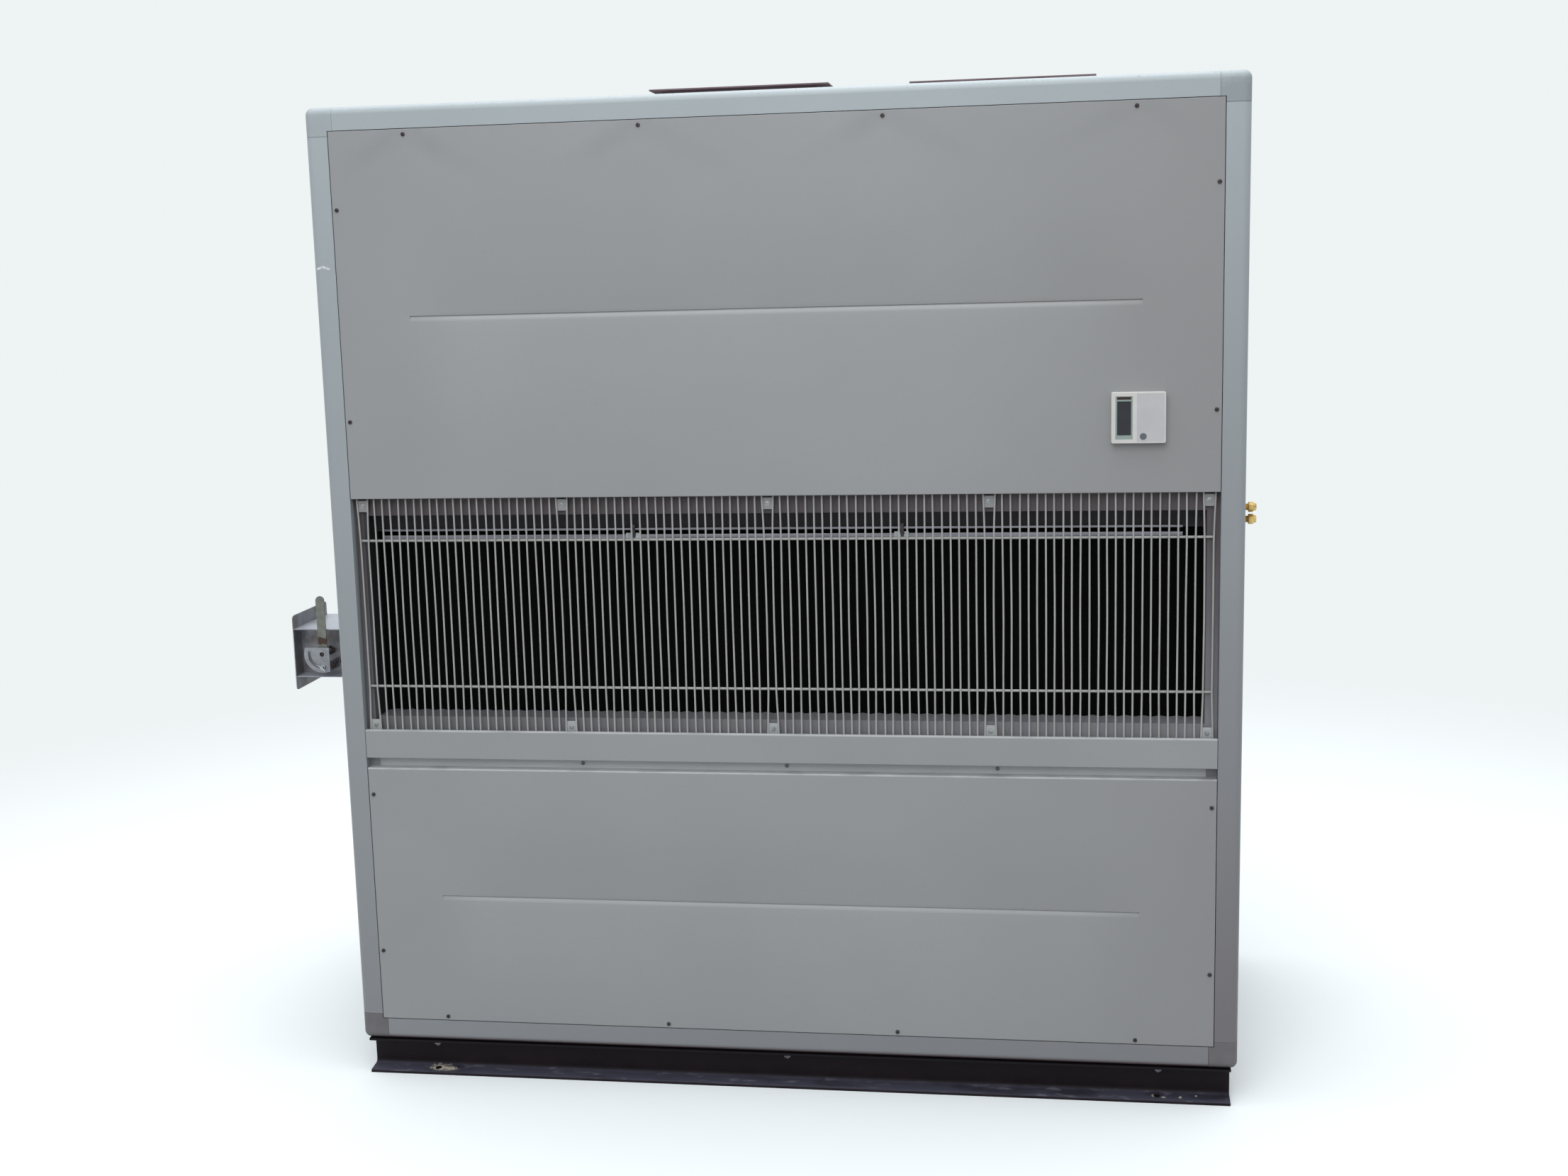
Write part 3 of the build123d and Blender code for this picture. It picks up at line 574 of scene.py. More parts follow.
def filter_clip(seat):
    """Clip plate with a notch for its tongue."""
    clip = new_block(seat + mm(-15, -2, 0.5), seat + mm(15, 0, 11.5))
    cut(clip, new_block(seat + mm(-3, -4, 4), seat + mm(6, 2, 20)))
    round_edges(clip, edges_along(BACK), 0.9 * MM)
    return clip


def clip_tongue(seat, top):
    """Spring tongue of a clip, bent back at its tip."""
    tongue = new_block(seat + mm(-2, -3, 1), (seat.x + 5 * MM, seat.y - 2 * MM, top))
    extrude_faces(tongue, UP, mm(0, 2, 4))
    round_edges(tongue, lambda middle, way: abs(way.y) > 0.4, 0.6 * MM, 1)
    return tongue


class CABINET_OT_grille_fittings(Operator):
    """Screws in the grille tabs, and the filter's rail, header and clips with their tongues"""

    bl_idname = "cabinet.grille_fittings"
    bl_label = "Grille Fittings"

    def execute(self, context):
        radius = context.scene.cabinet_sizes.tab_screw_radius
        low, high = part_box("grille_tabs")
        from_end = 12 * MM
        places = [(Vector((x, low.y, z)), FRONT)
                  for z in (low.z + from_end, high.z - from_end) for x in tab_places()]
        pattern = join([washer(1.35 * radius, 0.8 * MM), cross_screw(radius, 3 * MM)])
        finish_piece(copies(pattern, places), "tab_screws", fastener_metal("plain zinc plate"))

        rail_low, rail_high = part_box("filter_rail")
        web = rail_high.y - LIP_SHEET
        lower_lip = rail_low.z - 3.5 * MM
        upper_lip = rail_high.z - 4.5 * MM
        spans = ((upper_lip, rail_high.z), (lower_lip, lower_lip + 8 * MM))
        lips = [filter_lip(rail_low, rail_high, web, *span) for span in spans]
        lips = finish_piece(lips, "filter_rail_lips", finish_of("filter_rail"))
        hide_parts("filter_rail")

        filter_low, filter_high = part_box("air_filter")
        # The header's dark grey is painted shade
        header = new_block((filter_low.x, web, upper_lip),
                           (filter_high.x, rail_high.y - 0.5 * MM, filter_high.z))
        sink_front(header, 2 * MM, 0.4 * MM)
        finish_piece([header], "filter_header", painted_shade_strip())

        seats = [Vector((x, rail_low.y, lower_lip)) for x in CLIP_PLACES]
        clips = [filter_clip(seat) for seat in seats]
        finish_piece(clips, "filter_clips", fastener_metal("bright zinc plate"))
        tongues = [clip_tongue(seat, upper_lip + 8 * MM) for seat in seats]
        finish_piece(tongues, "clip_tongues", fastener_metal("blackened steel"))
        return {"FINISHED"}


class CABINET_OT_damper_fasteners(Operator):
    """Bolts of the damper's bracket, the nuts on its spindle and the wing nut on its stud"""

    bl_idname = "cabinet.damper_fasteners"
    bl_label = "Damper Fasteners"

    def execute(self, context):
        low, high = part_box("damper_quadrant")
        wall = Vector((PIVOT.x, high.y, PIVOT.z))
        lever = Vector((PIVOT.x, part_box("damper_lever")[1].y, PIVOT.z))
        plate = Vector((PIVOT.x, low.y, PIVOT.z))
        rusted = fastener_metal("rusted steel")
        bolt = join([washer(7.5 * MM, 1.2 * MM), hex_nut(10 * MM, 5 * MM, 1.2 * MM)])
        places = [(wall + mm(28, -2, -28), FRONT), (wall + mm(18, -40, -29), RIGHT)]
        finish_piece(copies(bolt, places), "damper_bolts", rusted)
        lock = copies(hex_nut(19 * MM, 6 * MM), [(wall + mm(0, -3.5, 0), FRONT)])
        finish_piece(lock, "spindle_lock_nut", rusted, body=DAMPER)
        spindle = join([hex_nut(11 * MM, 3.5 * MM), bolt_end(3 * MM, 3.5 * MM, 5.5 * MM)])
        spindle = copies(spindle, [(lever + mm(0, -3, 0), FRONT)])
        finish_piece(spindle, "spindle_nut", fastener_metal("blackened steel"), body=DAMPER)
        wings = copies(wing_nut(math.radians(-40)), [(plate + mm(0, -0.6, -31), FRONT)])
        finish_piece(wings, "wing_nut", fastener_metal("bright zinc plate"), body=DAMPER)
        return {"FINISHED"}


class CABINET_OT_controller_trim(Operator):
    """Dark display pane and red indicator strip in the controller's window"""

    bl_idname = "cabinet.controller_trim"
    bl_label = "Controller Trim"

    def execute(self, context):
        low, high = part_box("controller_display")
        side, proud = 3.2 * MM, 0.5 * MM
        pane = (low.z + 8.5 * MM, high.z - 10 * MM)
        strip = (high.z - 6.5 * MM, high.z - 1.5 * MM)
        for name, (bottom, top), glass, code in (
                ("display_pane", pane, "tinted display glass", "#1C1E27"),
                ("indicator_strip", strip, "red indicator glass", "#2A0A12")):
            piece = new_block((low.x + side, low.y - proud, bottom), (high.x - side, low.y, top))
            sink_front(piece, 0.8 * MM, 0.25 * MM)
            finish_piece([piece], name, display_glass(glass, linear(code)))
        return {"FINISHED"}


class CABINET_OT_pipe_unions(Operator):
    """Two brass unions with threads, chamfered hexagons and round caps"""

    bl_idname = "cabinet.pipe_unions"
    bl_label = "Pipe Unions"

    def execute(self, context):
        low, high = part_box("pipe_fittings")
        middle = (low + high) / 2
        reach = high.x - low.x
        collar_end, body_end = 6 * MM, 24 * MM
        collar = new_rod((0, 0, 0), (0, 0, collar_end), 12 * MM, 28)
        round_edges(collar, level_edges(collar_end - MM), 1.2 * MM)
        body = hex_nut(22 * MM, body_end - collar_end, collar_end)
        neck = bolt_end(7.5 * MM, body_end, reach - 16 * MM)
        cap = hex_nut(context.scene.cabinet_sizes.union_cap, 11 * MM, reach - 17 * MM)
        dome = new_rod((0, 0, reach - 6 * MM), (0, 0, reach), 8 * MM, 28)
        round_edges(dome, level_edges(reach - MM), 2.5 * MM, 3)
        pattern = join([collar, body, neck, cap, dome])
        places = [(Vector((low.x, middle.y, z)), RIGHT) for z in row(middle.z, 26 * MM, 2)]
        unions = copies(pattern, places)
        unions = finish_piece(unions, "pipe_unions", finish_of("pipe_fittings"))
        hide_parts("pipe_fittings")
        return {"FINISHED"}


# Finishes


def fill(node, inputs):
    """Sets or links the inputs of a node, given by name or in their order."""
    for socket, value in inputs.items() if isinstance(inputs, dict) else enumerate(inputs):
        if isinstance(value, NodeSocket):
            node.id_data.links.new(value, node.inputs[socket])
        else:
            node.inputs[socket].default_value = value


def add_node(beside, kind, inputs=(), output=0, **settings):
    """Adds a shader node beside a socket, with its settings and inputs, and gives one of its outputs."""
    node = beside.id_data.nodes.new("ShaderNode" + kind)
    for name, value in settings.items():
        setattr(node, name, value)
    fill(node, inputs)
    return node.outputs[output]


def dress(material, inputs):
    """Sets or links the inputs of a material's shader, and gives the material."""
    fill(material.node_tree.nodes["Principled BSDF"], inputs)
    return material


def start_finish(name, roughness, metallic=0.0):
    """New material, and the place on its piece."""
    material = bpy.data.materials.new(name)
    material.use_nodes = True
    dress(material, {"Roughness": roughness, "Metallic": metallic})
    return material, add_node(material.node_tree, "TexCoord", output="Object")


def per(millimetres):
    """Texture scale for features of a size in millimetres."""
    return 1 / (millimetres * MM)


def tone(shade, factor=1.0):
    """RGBA of a colour made lighter or darker."""
    return tuple(min(1, c * factor) for c in shade[:3]) + (1,)


def share_along(vector, axis, start, end, most=1.0):
    """Share from 0 to most, by how far a vector has come from start to end along an axis."""
    part = add_node(vector, "SeparateXYZ", [vector], axis)
    return add_node(vector, "MapRange", [part, start, end, 0, most])


def patches(place, size, low=0.3, high=0.7, detail=4.0, most=1.0):
    """Share from 0 to most of ragged patches of a size in millimetres."""
    noise = add_node(place, "TexNoise", {"Vector": place, "Scale": per(size), "Detail": detail}, "Fac")
    return add_node(place, "MapRange", [noise, low, high, 0, most])


def blotched(base, mark, *shares):
    """Base colour with a mark over it, as far as all the shares allow."""
    share = shares[0]
    for other in shares[1:]:
        share = add_node(share, "Math", [share, other], operation="MULTIPLY")
    return add_node(share, "Mix", {0: share, 6: base, 7: mark}, 2, data_type="RGBA")


def speckled(place, size, light, dark, low=0.35, high=0.65):
    """Colour that drifts between two tones over patches of a size in millimetres."""
    return blotched(dark, light, patches(place, size, low, high, 3.0))


def spot(place, middle, radii, ragged, size=9):
    """Share from 0 to 1 of one blotch about a middle, its edge broken up over a size in millimetres."""
    offset = add_node(place, "VectorMath", [place, middle], operation="SUBTRACT")
    unit = add_node(place, "VectorMath", [offset, radii], operation="DIVIDE")
    reach = add_node(place, "VectorMath", [unit], "Value", operation="LENGTH")
    edge = patches(place, size, most=ragged)
    total = add_node(place, "Math", [reach, edge], operation="ADD")
    return add_node(place, "MapRange", [total, 1.0 + 0.5 * ragged, 0.75])


def grain(place, size, strength, depth):
    """Normal of a fine relief, with bumps of a size and a depth in millimetres."""
    height = patches(place, size)
    return add_node(place, "Bump", {"Height": height, "Strength": strength, "Distance": depth * MM})


def powder_coat(name, shade, cloud, spread, roughness):
    """Powder coat on metal: an even satin colour, slow clouds of tone and a fine orange peel.

    The peel is about 2 mm across; it is drawn at 6 mm so that it shows.
    """
    material, place = start_finish(name, roughness)
    base = speckled(place, cloud, tone(shade, 1 + spread), tone(shade, 1 - spread))
    base = blotched(base, tone(shade, 0.9), patches(place, 9, 0.55, 0.8, most=0.35))
    peel = add_node(place, "TexNoise", {"Vector": place, "Scale": per(6), "Detail": 2.0}, "Fac")
    gloss = add_node(place, "MapRange", [peel, 0, 1, roughness - 0.06, roughness + 0.06])
    bump = add_node(place, "Bump", {"Height": peel, "Strength": 0.12, "Distance": 0.6 * MM})
    dress(material, {"Base Color": base, "Roughness": gloss, "Normal": bump})
    return material, place, base


def coated_panel(colours):
    """Powder-coated sheet steel: a flat satin grey with the faint clouds of a large thin sheet."""
    return powder_coat("powder-coated sheet steel", colours.panel, PANEL_CLOUD, 0.03, PANEL_ROUGHNESS)[0]


def painted_rim_highlight(place, base, shade, top):
    """Base colour with a thin pale line, a painted highlight, along an upper edge at a height."""
    line = share_along(place, "Z", top - 3.5 * MM, top - 2 * MM)
    return blotched(base, tone(shade, 1.5), line, patches(place, 70, 0.2, 0.5))


def bent_sheet(colours, node):
    """Powder-coated folded sheet: the panels' grey, with a painted highlight along its upper bend."""
    material, place, base = powder_coat(
        "powder-coated folded sheet, " + node, colours.panel, PANEL_CLOUD, 0.03, PANEL_ROUGHNESS)
    return dress(material, {"Base Color": painted_rim_highlight(place, base, colours.panel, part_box(node)[1].z)})


# Painted shade and highlight of a creased sheet's bow and crease: its tone against its own colour, by its
# share of the sheet's height
PAINTED_BOW_SHADE = ((0.0, 0.99), (0.25, 1.02), (0.45, 1.06), (0.482, 1.09), (0.490, 1.2), (0.498, 1.24), (0.502, 0.86),
       (0.512, 0.93), (0.62, 0.95), (0.8, 1.0), (1.0, 1.02))
PAINTED_BOW_LEAST = 0.8
PAINTED_BOW_RANGE = 0.6
BESIDE_CREASE = 0.99              # the same tone past the crease's ends
CREASE_FADE = (120 * MM, 290 * MM)   # from the sheet's end: where the bow starts and where it is full
# Painted shade of the dips under a top row of screws:
DENT_SLOPE = 1.6                  # how fast a dip runs aside as it runs down from its screw
DENT_WIDTH = 75 * MM
DENT_DEPTHS = (130 * MM, 25 * MM)    # below the sheet's top: where a dip ends and where it is full
# Size of the clouds, in millimetres, and roughness of the panels' coat
PANEL_CLOUD, PANEL_ROUGHNESS = 420, 0.46


def painted_dent_shade(place, base, shade, top, pitch):
    """Base colour with painted shade of the dips that a top row of screws presses into a sheet, to both
    sides of each.
    """
    along = add_node(place, "SeparateXYZ", [place]).node.outputs
    beside = add_node(place, "Math", [along["X"], pitch / 2], operation="ADD")
    beside = add_node(place, "Math", [beside, pitch / 2], operation="PINGPONG")
    drop = add_node(place, "Math", [top, along["Z"]], operation="SUBTRACT")
    spread = add_node(place, "Math", [drop, DENT_SLOPE], operation="MULTIPLY")
    off = add_node(place, "Math", [beside, spread], operation="SUBTRACT")
    off = add_node(place, "Math", [off], operation="ABSOLUTE")
    dent_shade = add_node(place, "MapRange", [off, DENT_WIDTH, 0], interpolation_type="SMOOTHSTEP")
    fade = add_node(place, "MapRange", [drop, *DENT_DEPTHS], interpolation_type="SMOOTHSTEP")
    return blotched(base, tone(shade, 0.84), dent_shade, fade, patches(place, 90, 0.1, most=0.55))


def creased_sheet(colours, node, screw_pitch=None):
    """Powder-coated sheet with a pressed crease: satin grey with painted shade above the crease and a
    painted highlight below it, where the sheet bows, and darker towards its right edge. Painted shade dips
    under each screw of a top row, and without such a row its upper edge has a thin painted highlight."""
    material, place, base = powder_coat(
        "powder-coated creased sheet, " + node, colours.panel, PANEL_CLOUD, 0.025, PANEL_ROUGHNESS)
    low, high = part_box(node)
    # Painted shade above the crease and painted highlight below it, faded towards the sheet's ends
    ramp = add_node(place, "ValToRGB", [share_along(place, "Z", low.z, high.z)])
    stops = ramp.node.color_ramp.elements
    for position, gain in PAINTED_BOW_SHADE:
        stop = stops.new(position) if 0 < position < 1 else stops[-1 if position else 0]
        stop.color = 3 * ((gain - PAINTED_BOW_LEAST) / PAINTED_BOW_RANGE,) + (1,)
    painted_bow = add_node(place, "MapRange", [ramp, 0, 1, PAINTED_BOW_LEAST, PAINTED_BOW_LEAST + PAINTED_BOW_RANGE])
    across = add_node(place, "SeparateXYZ", [place], "X")
    across = add_node(place, "Math", [across], operation="ABSOLUTE")
    starts, full = (high.x - distance for distance in CREASE_FADE)
    middle = add_node(place, "MapRange", [across, starts, full], interpolation_type="SMOOTHSTEP")
    gain = add_node(place, "Mix", {0: middle, 2: BESIDE_CREASE, 3: painted_bow})
    base = add_node(place, "Mix", {0: 1.0, 6: base, 7: gain}, 2, data_type="RGBA", blend_type="MULTIPLY")
    # Darker towards the right edge
    dirt = share_along(place, "X", 350 * MM, 900 * MM, 0.25)
    base = blotched(base, tone(colours.grime), dirt)
    # With a top row of screws, painted shade under them; without one, a painted highlight along the upper
    # edge
    if screw_pitch:
        base = painted_dent_shade(place, base, colours.panel, high.z, screw_pitch)
    else:
        base = painted_rim_highlight(place, base, colours.panel, high.z)
    return dress(material, {"Base Color": base})


def coated_ledge(colours):
    """Powder-coated sheet in the grille's recess: its grey darkened by painted shade, under settled dust,
    darker to the left, with brown painted shade at its top and near black along the left rim of its hole."""
    material, place, base = powder_coat("dusty powder-coated sheet", colours.ledge, 130, 0.08, 0.65)
    low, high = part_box("grille_surround")
    base = blotched(base, linear("#8C868A"), patches(place, 24, 0.5, 0.68, most=0.55))
    base = blotched(base, tone(colours.ledge, 0.6), share_along(place, "X", high.x, low.x))
    # Painted shade: brown at the top, under the upper panel
    base = blotched(base, linear("#41373A"), share_along(place, "Z", low.z, high.z, 0.88))
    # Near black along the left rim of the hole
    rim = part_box("air_filter")[0].x - 3 * MM
    across = add_node(place, "SeparateXYZ", [place], "X")
    dark_left_rim = add_node(place, "Math", [across, rim, 4.5 * MM], operation="COMPARE")
    return dress(material, {"Base Color": blotched(base, tone(colours.ledge, 0.08), dark_left_rim)})


def scratched(place, base, middle):
    """Base colour with a short pale scratch, highest at its middle, across the front of a post."""
    along = add_node(place, "SeparateXYZ", [place]).node.outputs
    aside = add_node(place, "Math", [along["X"], middle.x], operation="SUBTRACT")
    aside = add_node(place, "Math", [aside], operation="ABSOLUTE")
    peak = add_node(place, "Math", [aside, -0.3, middle.z], operation="MULTIPLY_ADD")
    line = add_node(place, "Math", [along["Z"], peak, 2.2 * MM], operation="COMPARE")
    short = add_node(place, "MapRange", [aside, 17 * MM, 11 * MM])
    return blotched(base, linear("#E4E8EA"), line, short, patches(place, 6, 0.3, 0.5))


def coated_extrusion(colours, part="", grime=0.72, scratch=None, rim=None):
    """Powder-coated aluminium extrusion: smooth cool grey, darker towards the floor by grime and painted
    shade, with brown painted shade on its downward faces and specks of dirt on its upper faces. One post
    has a pale scratch; the bottom rail has a painted highlight along its upper edge and gets darker to the
    right."""
    material, place, base = powder_coat(
        "powder-coated aluminium extrusion" + part, colours.frame, 300, 0.025, 0.4)
    # Darker towards the floor: grime and painted shade
    base = blotched(base, tone(colours.grime), share_along(place, "Z", CAD_BOX[1].z, 0.0, grime))
    if rim:
        # The bottom rail darker to the right
        right = share_along(place, "X", CAD_BOX[0].x, CAD_BOX[1].x, 0.52)
        base = blotched(base, tone(colours.grime, 0.9), right)
        base = painted_rim_highlight(place, base, colours.grime, rim)
    normal = add_node(place, "TexCoord", output="Normal")
    # Painted shade: brown on the downward faces
    base = blotched(base, linear("#5C474B"), share_along(normal, "Z", -0.15, -0.7, 0.8))
    base = blotched(base, tone(colours.frame, 0.5), patches(place, 5, 0.68, 0.74, 1.0, 0.7),
                    share_along(normal, "Z", 0.2, 0.7))
    if scratch:
        base = scratched(place, base, scratch)
    return dress(material, {"Base Color": base})


def painted_casting(name, shade, grime, dark_patch=None):
    """Painted zinc casting: the frame's grey with a slightly coarse skin, and grime where it is handled
    or low. The front of one casting is darker all over."""
    material, place, base = powder_coat(name, shade, 60, 0.04, 0.5)
    base = blotched(base, tone(shade, 0.8), patches(place, 35, 0.35, most=grime))
    if dark_patch:
        # Darker front of one casting
        base = blotched(base, tone(shade, 0.76), spot(place, dark_patch, mm(90, 50, 55), 0.2))
    return dress(material, {"Base Color": base})


def coated_wire(colours):
    """Powder-coated wire: soft satin grey that thins and darkens a little along each wire."""
    return powder_coat("powder-coated steel wire", colours.wire, 45, 0.05, 0.42)[0]


# Cement on the front channel's lower flange: place along X, distance from the toe, reach along X and Y,
# and size of its ragged edge, in millimetres
SMEARS = ((-783, 22, 30, 17, 7), (-758, 17, 17, 11, 5), (782, 19, 8, 6, 4), (800, 14, 6, 4, 3),
          (835, 16, 4, 6, 3), (868, 24, 3, 5, 3))


def black_enamel(colours):
    """Brushed black enamel on rolled steel: dull and near black, darker still at its top as painted shade
    under the cabinet, grey with dust on its upper faces, with cement round the left anchor hole and a few
    pale drips by the right one."""
    material, place = start_finish("black enamel on rolled steel", 0.6)
    base = speckled(place, 70, tone(colours.base, 1.25), tone(colours.base, 0.75))
    # Painted shade: darker above 66 mm, on the upper flange under the cabinet
    base = blotched(base, tone(colours.base, 0.4), share_along(place, "Z", 66 * MM, 70 * MM))
    upward = share_along(add_node(place, "TexCoord", output="Normal"), "Z", 0.5, 0.95)
    lower = share_along(place, "Z", 45 * MM, 40 * MM)
    dusty = add_node(place, "Math", [upward, lower], operation="MULTIPLY")
    streaks = add_node(place, "Mapping", {"Vector": place, "Scale": (0.35, 1, 1)})
    base = blotched(base, linear("#42424F"), dusty, patches(streaks, 45, 0.2, 0.46))
    base = blotched(base, linear("#62616B"), dusty, patches(streaks, 16, 0.58, 0.72, 2.0))
    toe = Vector((0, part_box("base_front_channel")[0].y, 0))
    for x, inward, wide, deep, size in SMEARS:
        smear = spot(place, toe + mm(x, inward, 6), mm(wide, deep, 20), 0.8, size)
        base = blotched(base, linear("#B4AC9D"), dusty, smear)
    return dress(material, {"Base Color": base, "Specular IOR Level": 0.18,
                            "Normal": grain(place, 12, 0.25, 0.8)})


def galvanised(name, shade, soiled_and_shaded):
    """Hot-dip galvanised sheet: dull grey metal broken into spangles that shine unequally, with a painted
    highlight on its upper faces and patches of brown soil with painted shade on the others."""
    material, place = start_finish(name, 0.42, 0.75)
    spangle = add_node(place, "TexVoronoi", {"Vector": place, "Scale": per(11)}, "Color")
    cell = add_node(place, "SeparateColor", [spangle], "Red")
    normal = add_node(place, "TexCoord", output="Normal")
    base = blotched(tone(shade, 0.85), tone(shade, 1.12), cell)
    # Painted highlight: upward faces 1.7 times lighter
    base = blotched(base, tone(shade, 1.7), share_along(normal, "Z", 0.3, 0.8))
    # Brown soil in patches, with painted shade, on the faces that do not look up
    base = blotched(base, linear("#6E6562"), share_along(normal, "Z", 0.8, 0.3),
                    patches(place, 45, 0.35, most=soiled_and_shaded))
    rough = add_node(place, "MapRange", [cell, 0, 1, 0.36, 0.58])
    return dress(material, {"Base Color": base, "Roughness": rough})


def lever_bar():
    """Zinc-plated flat bar: dull olive silver, brown with rust where the plating wore off."""
    material, place = start_finish("rusted zinc-plated bar", 0.5, 0.45)
    base = speckled(place, 14, linear("#82847C"), linear("#6F716A"))
    off = add_node(place, "SeparateXYZ", [place], "Z")
    off = add_node(place, "Math", [off, PIVOT.z + 31 * MM], operation="SUBTRACT")
    off = add_node(place, "Math", [off], operation="ABSOLUTE")
    edge = add_node(place, "Math", [off, patches(place, 9, most=9 * MM)], operation="ADD")
    rust = add_node(place, "MapRange", [edge, 13 * MM, 10 * MM])
    return dress(material, {
        "Base Color": blotched(base, linear("#4C3D33"), rust),
        "Metallic": add_node(place, "MapRange", [rust, 0, 1, 0.45, 0.0]),
        "Roughness": add_node(place, "MapRange", [rust, 0, 1, 0.5, 0.9])})


def chalky_primer(colours):
    """Grey-brown primer on sheet: flat and chalky, with paler rubbed patches."""
    material, place = start_finish("grey-brown primer", 0.75)
    base = speckled(place, 55, tone(colours.collar, 1.15), tone(colours.collar, 0.85))
    return dress(material, {"Base Color": base, "Normal": grain(place, 5, 0.2, 0.5)})


def mill_sheet(name, light, dark, roughness, metallic=0.9):
    """Rolled metal: fine level rolling lines, drawn at 3 mm so that they show."""
    material, place = start_finish(name, roughness, metallic)
    stretch = add_node(place, "Mapping", {"Vector": place, "Scale": (0.02, 1, 1)})
    base = speckled(stretch, 3, linear(light), linear(dark))
    gloss = add_node(place, "MapRange", [patches(stretch, 4), 0, 1, roughness - 0.08, roughness + 0.08])
    dress(material, {"Base Color": base, "Roughness": gloss})
    return material, place, base


def pressed_tab():
    """Zinc-plated pressed steel: a pale grey plate with faint drift and a soft sheen, darker on the upper
    tabs as painted shade under the panel above."""
    material, place, base = mill_sheet("zinc-plated pressed steel", "#AEB1B2", "#9FA2A3", 0.5, 0.15)
    low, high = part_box("grille_tabs")
    # Painted shade: the upper tabs darker, under the panel above
    upper = share_along(place, "Z", low.z, high.z, 0.65)
    return dress(material, {"Base Color": blotched(base, linear("#828081"), upper)})


def painted_shade_strip():
    """Dark grey strip over the filter: painted shade, with a faint drift of tone."""
    material, place = start_finish("dark painted strip", 0.7)
    return dress(material, {"Base Color": speckled(place, 40, linear("#251F28"), linear("#1A161D"))})


def filter_fleece():
    """Black filter fleece: matt, with a fibrous surface that takes no shine."""
    material, place = start_finish("black filter fleece", 0.95)
    base = speckled(place, 6, linear("#070608"), linear("#030304"))
    return dress(material, {"Base Color": base, "Specular IOR Level": 0.1,
                            "Normal": grain(place, 4, 0.3, 1.0)})


def moulded_plastic(name, shade, roughness):
    """Moulded ABS: an even colour with a fine spark-eroded grain, drawn at 1.5 mm so that it shows."""
    material, place = start_finish(name, roughness)
    base = speckled(place, 35, tone(shade, 1.02), tone(shade, 0.96))
    return dress(material, {"Base Color": base, "Normal": grain(place, 1.5, 0.15, 0.2)})


def display_glass(name, shade):
    """Tinted display window: near black, glossy, with a faint drift of tone."""
    material, place = start_finish(name, 0.14)
    return dress(material, {"Base Color": speckled(place, 20, tone(shade, 1.2), tone(shade, 0.85))})


def turned_brass(colours):
    """Turned brass: warm, bright, with darker tarnish in patches."""
    material, place = start_finish("turned brass", 0.3, 1.0)
    base = speckled(place, 9, tone(colours.brass, 1.08), tone(colours.brass, 0.62), 0.3, 0.6)
    return dress(material, {"Base Color": base, "Roughness": patches(place, 4, -0.6, 1.9)})


# Metals of the small fasteners: light and dark tone, roughness and metallic
FASTENER_METALS = {
    # Dark, faintly brown metal with a worn sheen
    "blackened steel": ("#4B4547", "#332C2E", 0.42, 0.7),
    # Pale silver with a soft bluish drift
    "bright zinc plate": ("#C4C8CC", "#A2A7AC", 0.32, 0.9),
    # Mid-grey silver that has lost its first shine
    "plain zinc plate": ("#A6AAAC", "#868A8D", 0.42, 0.7),
    # Grey and soft, with little shine left
    "weathered zinc plate": ("#8B8C92", "#6C6C73", 0.6, 0.4),
    # Dark brown, rough and without shine
    "rusted steel": ("#4A3E38", "#2C2526", 0.8, 0.2),
}


def fastener_metal(name):
    """Metal of small fasteners, made once and used by each of their pieces."""
    if name in bpy.data.materials:
        return bpy.data.materials[name]
    light, dark, roughness, metallic = FASTENER_METALS[name]
    material, place = start_finish(name, roughness, metallic)
    return dress(material, {"Base Color": speckled(place, 7, linear(light), linear(dark))})


# Places of the marks on single pieces
TOP_RIGHT_CASTING = mm(930, -450, 2035)
LEFT_POST_SCRATCH = mm(-929, 0, 1773.5)


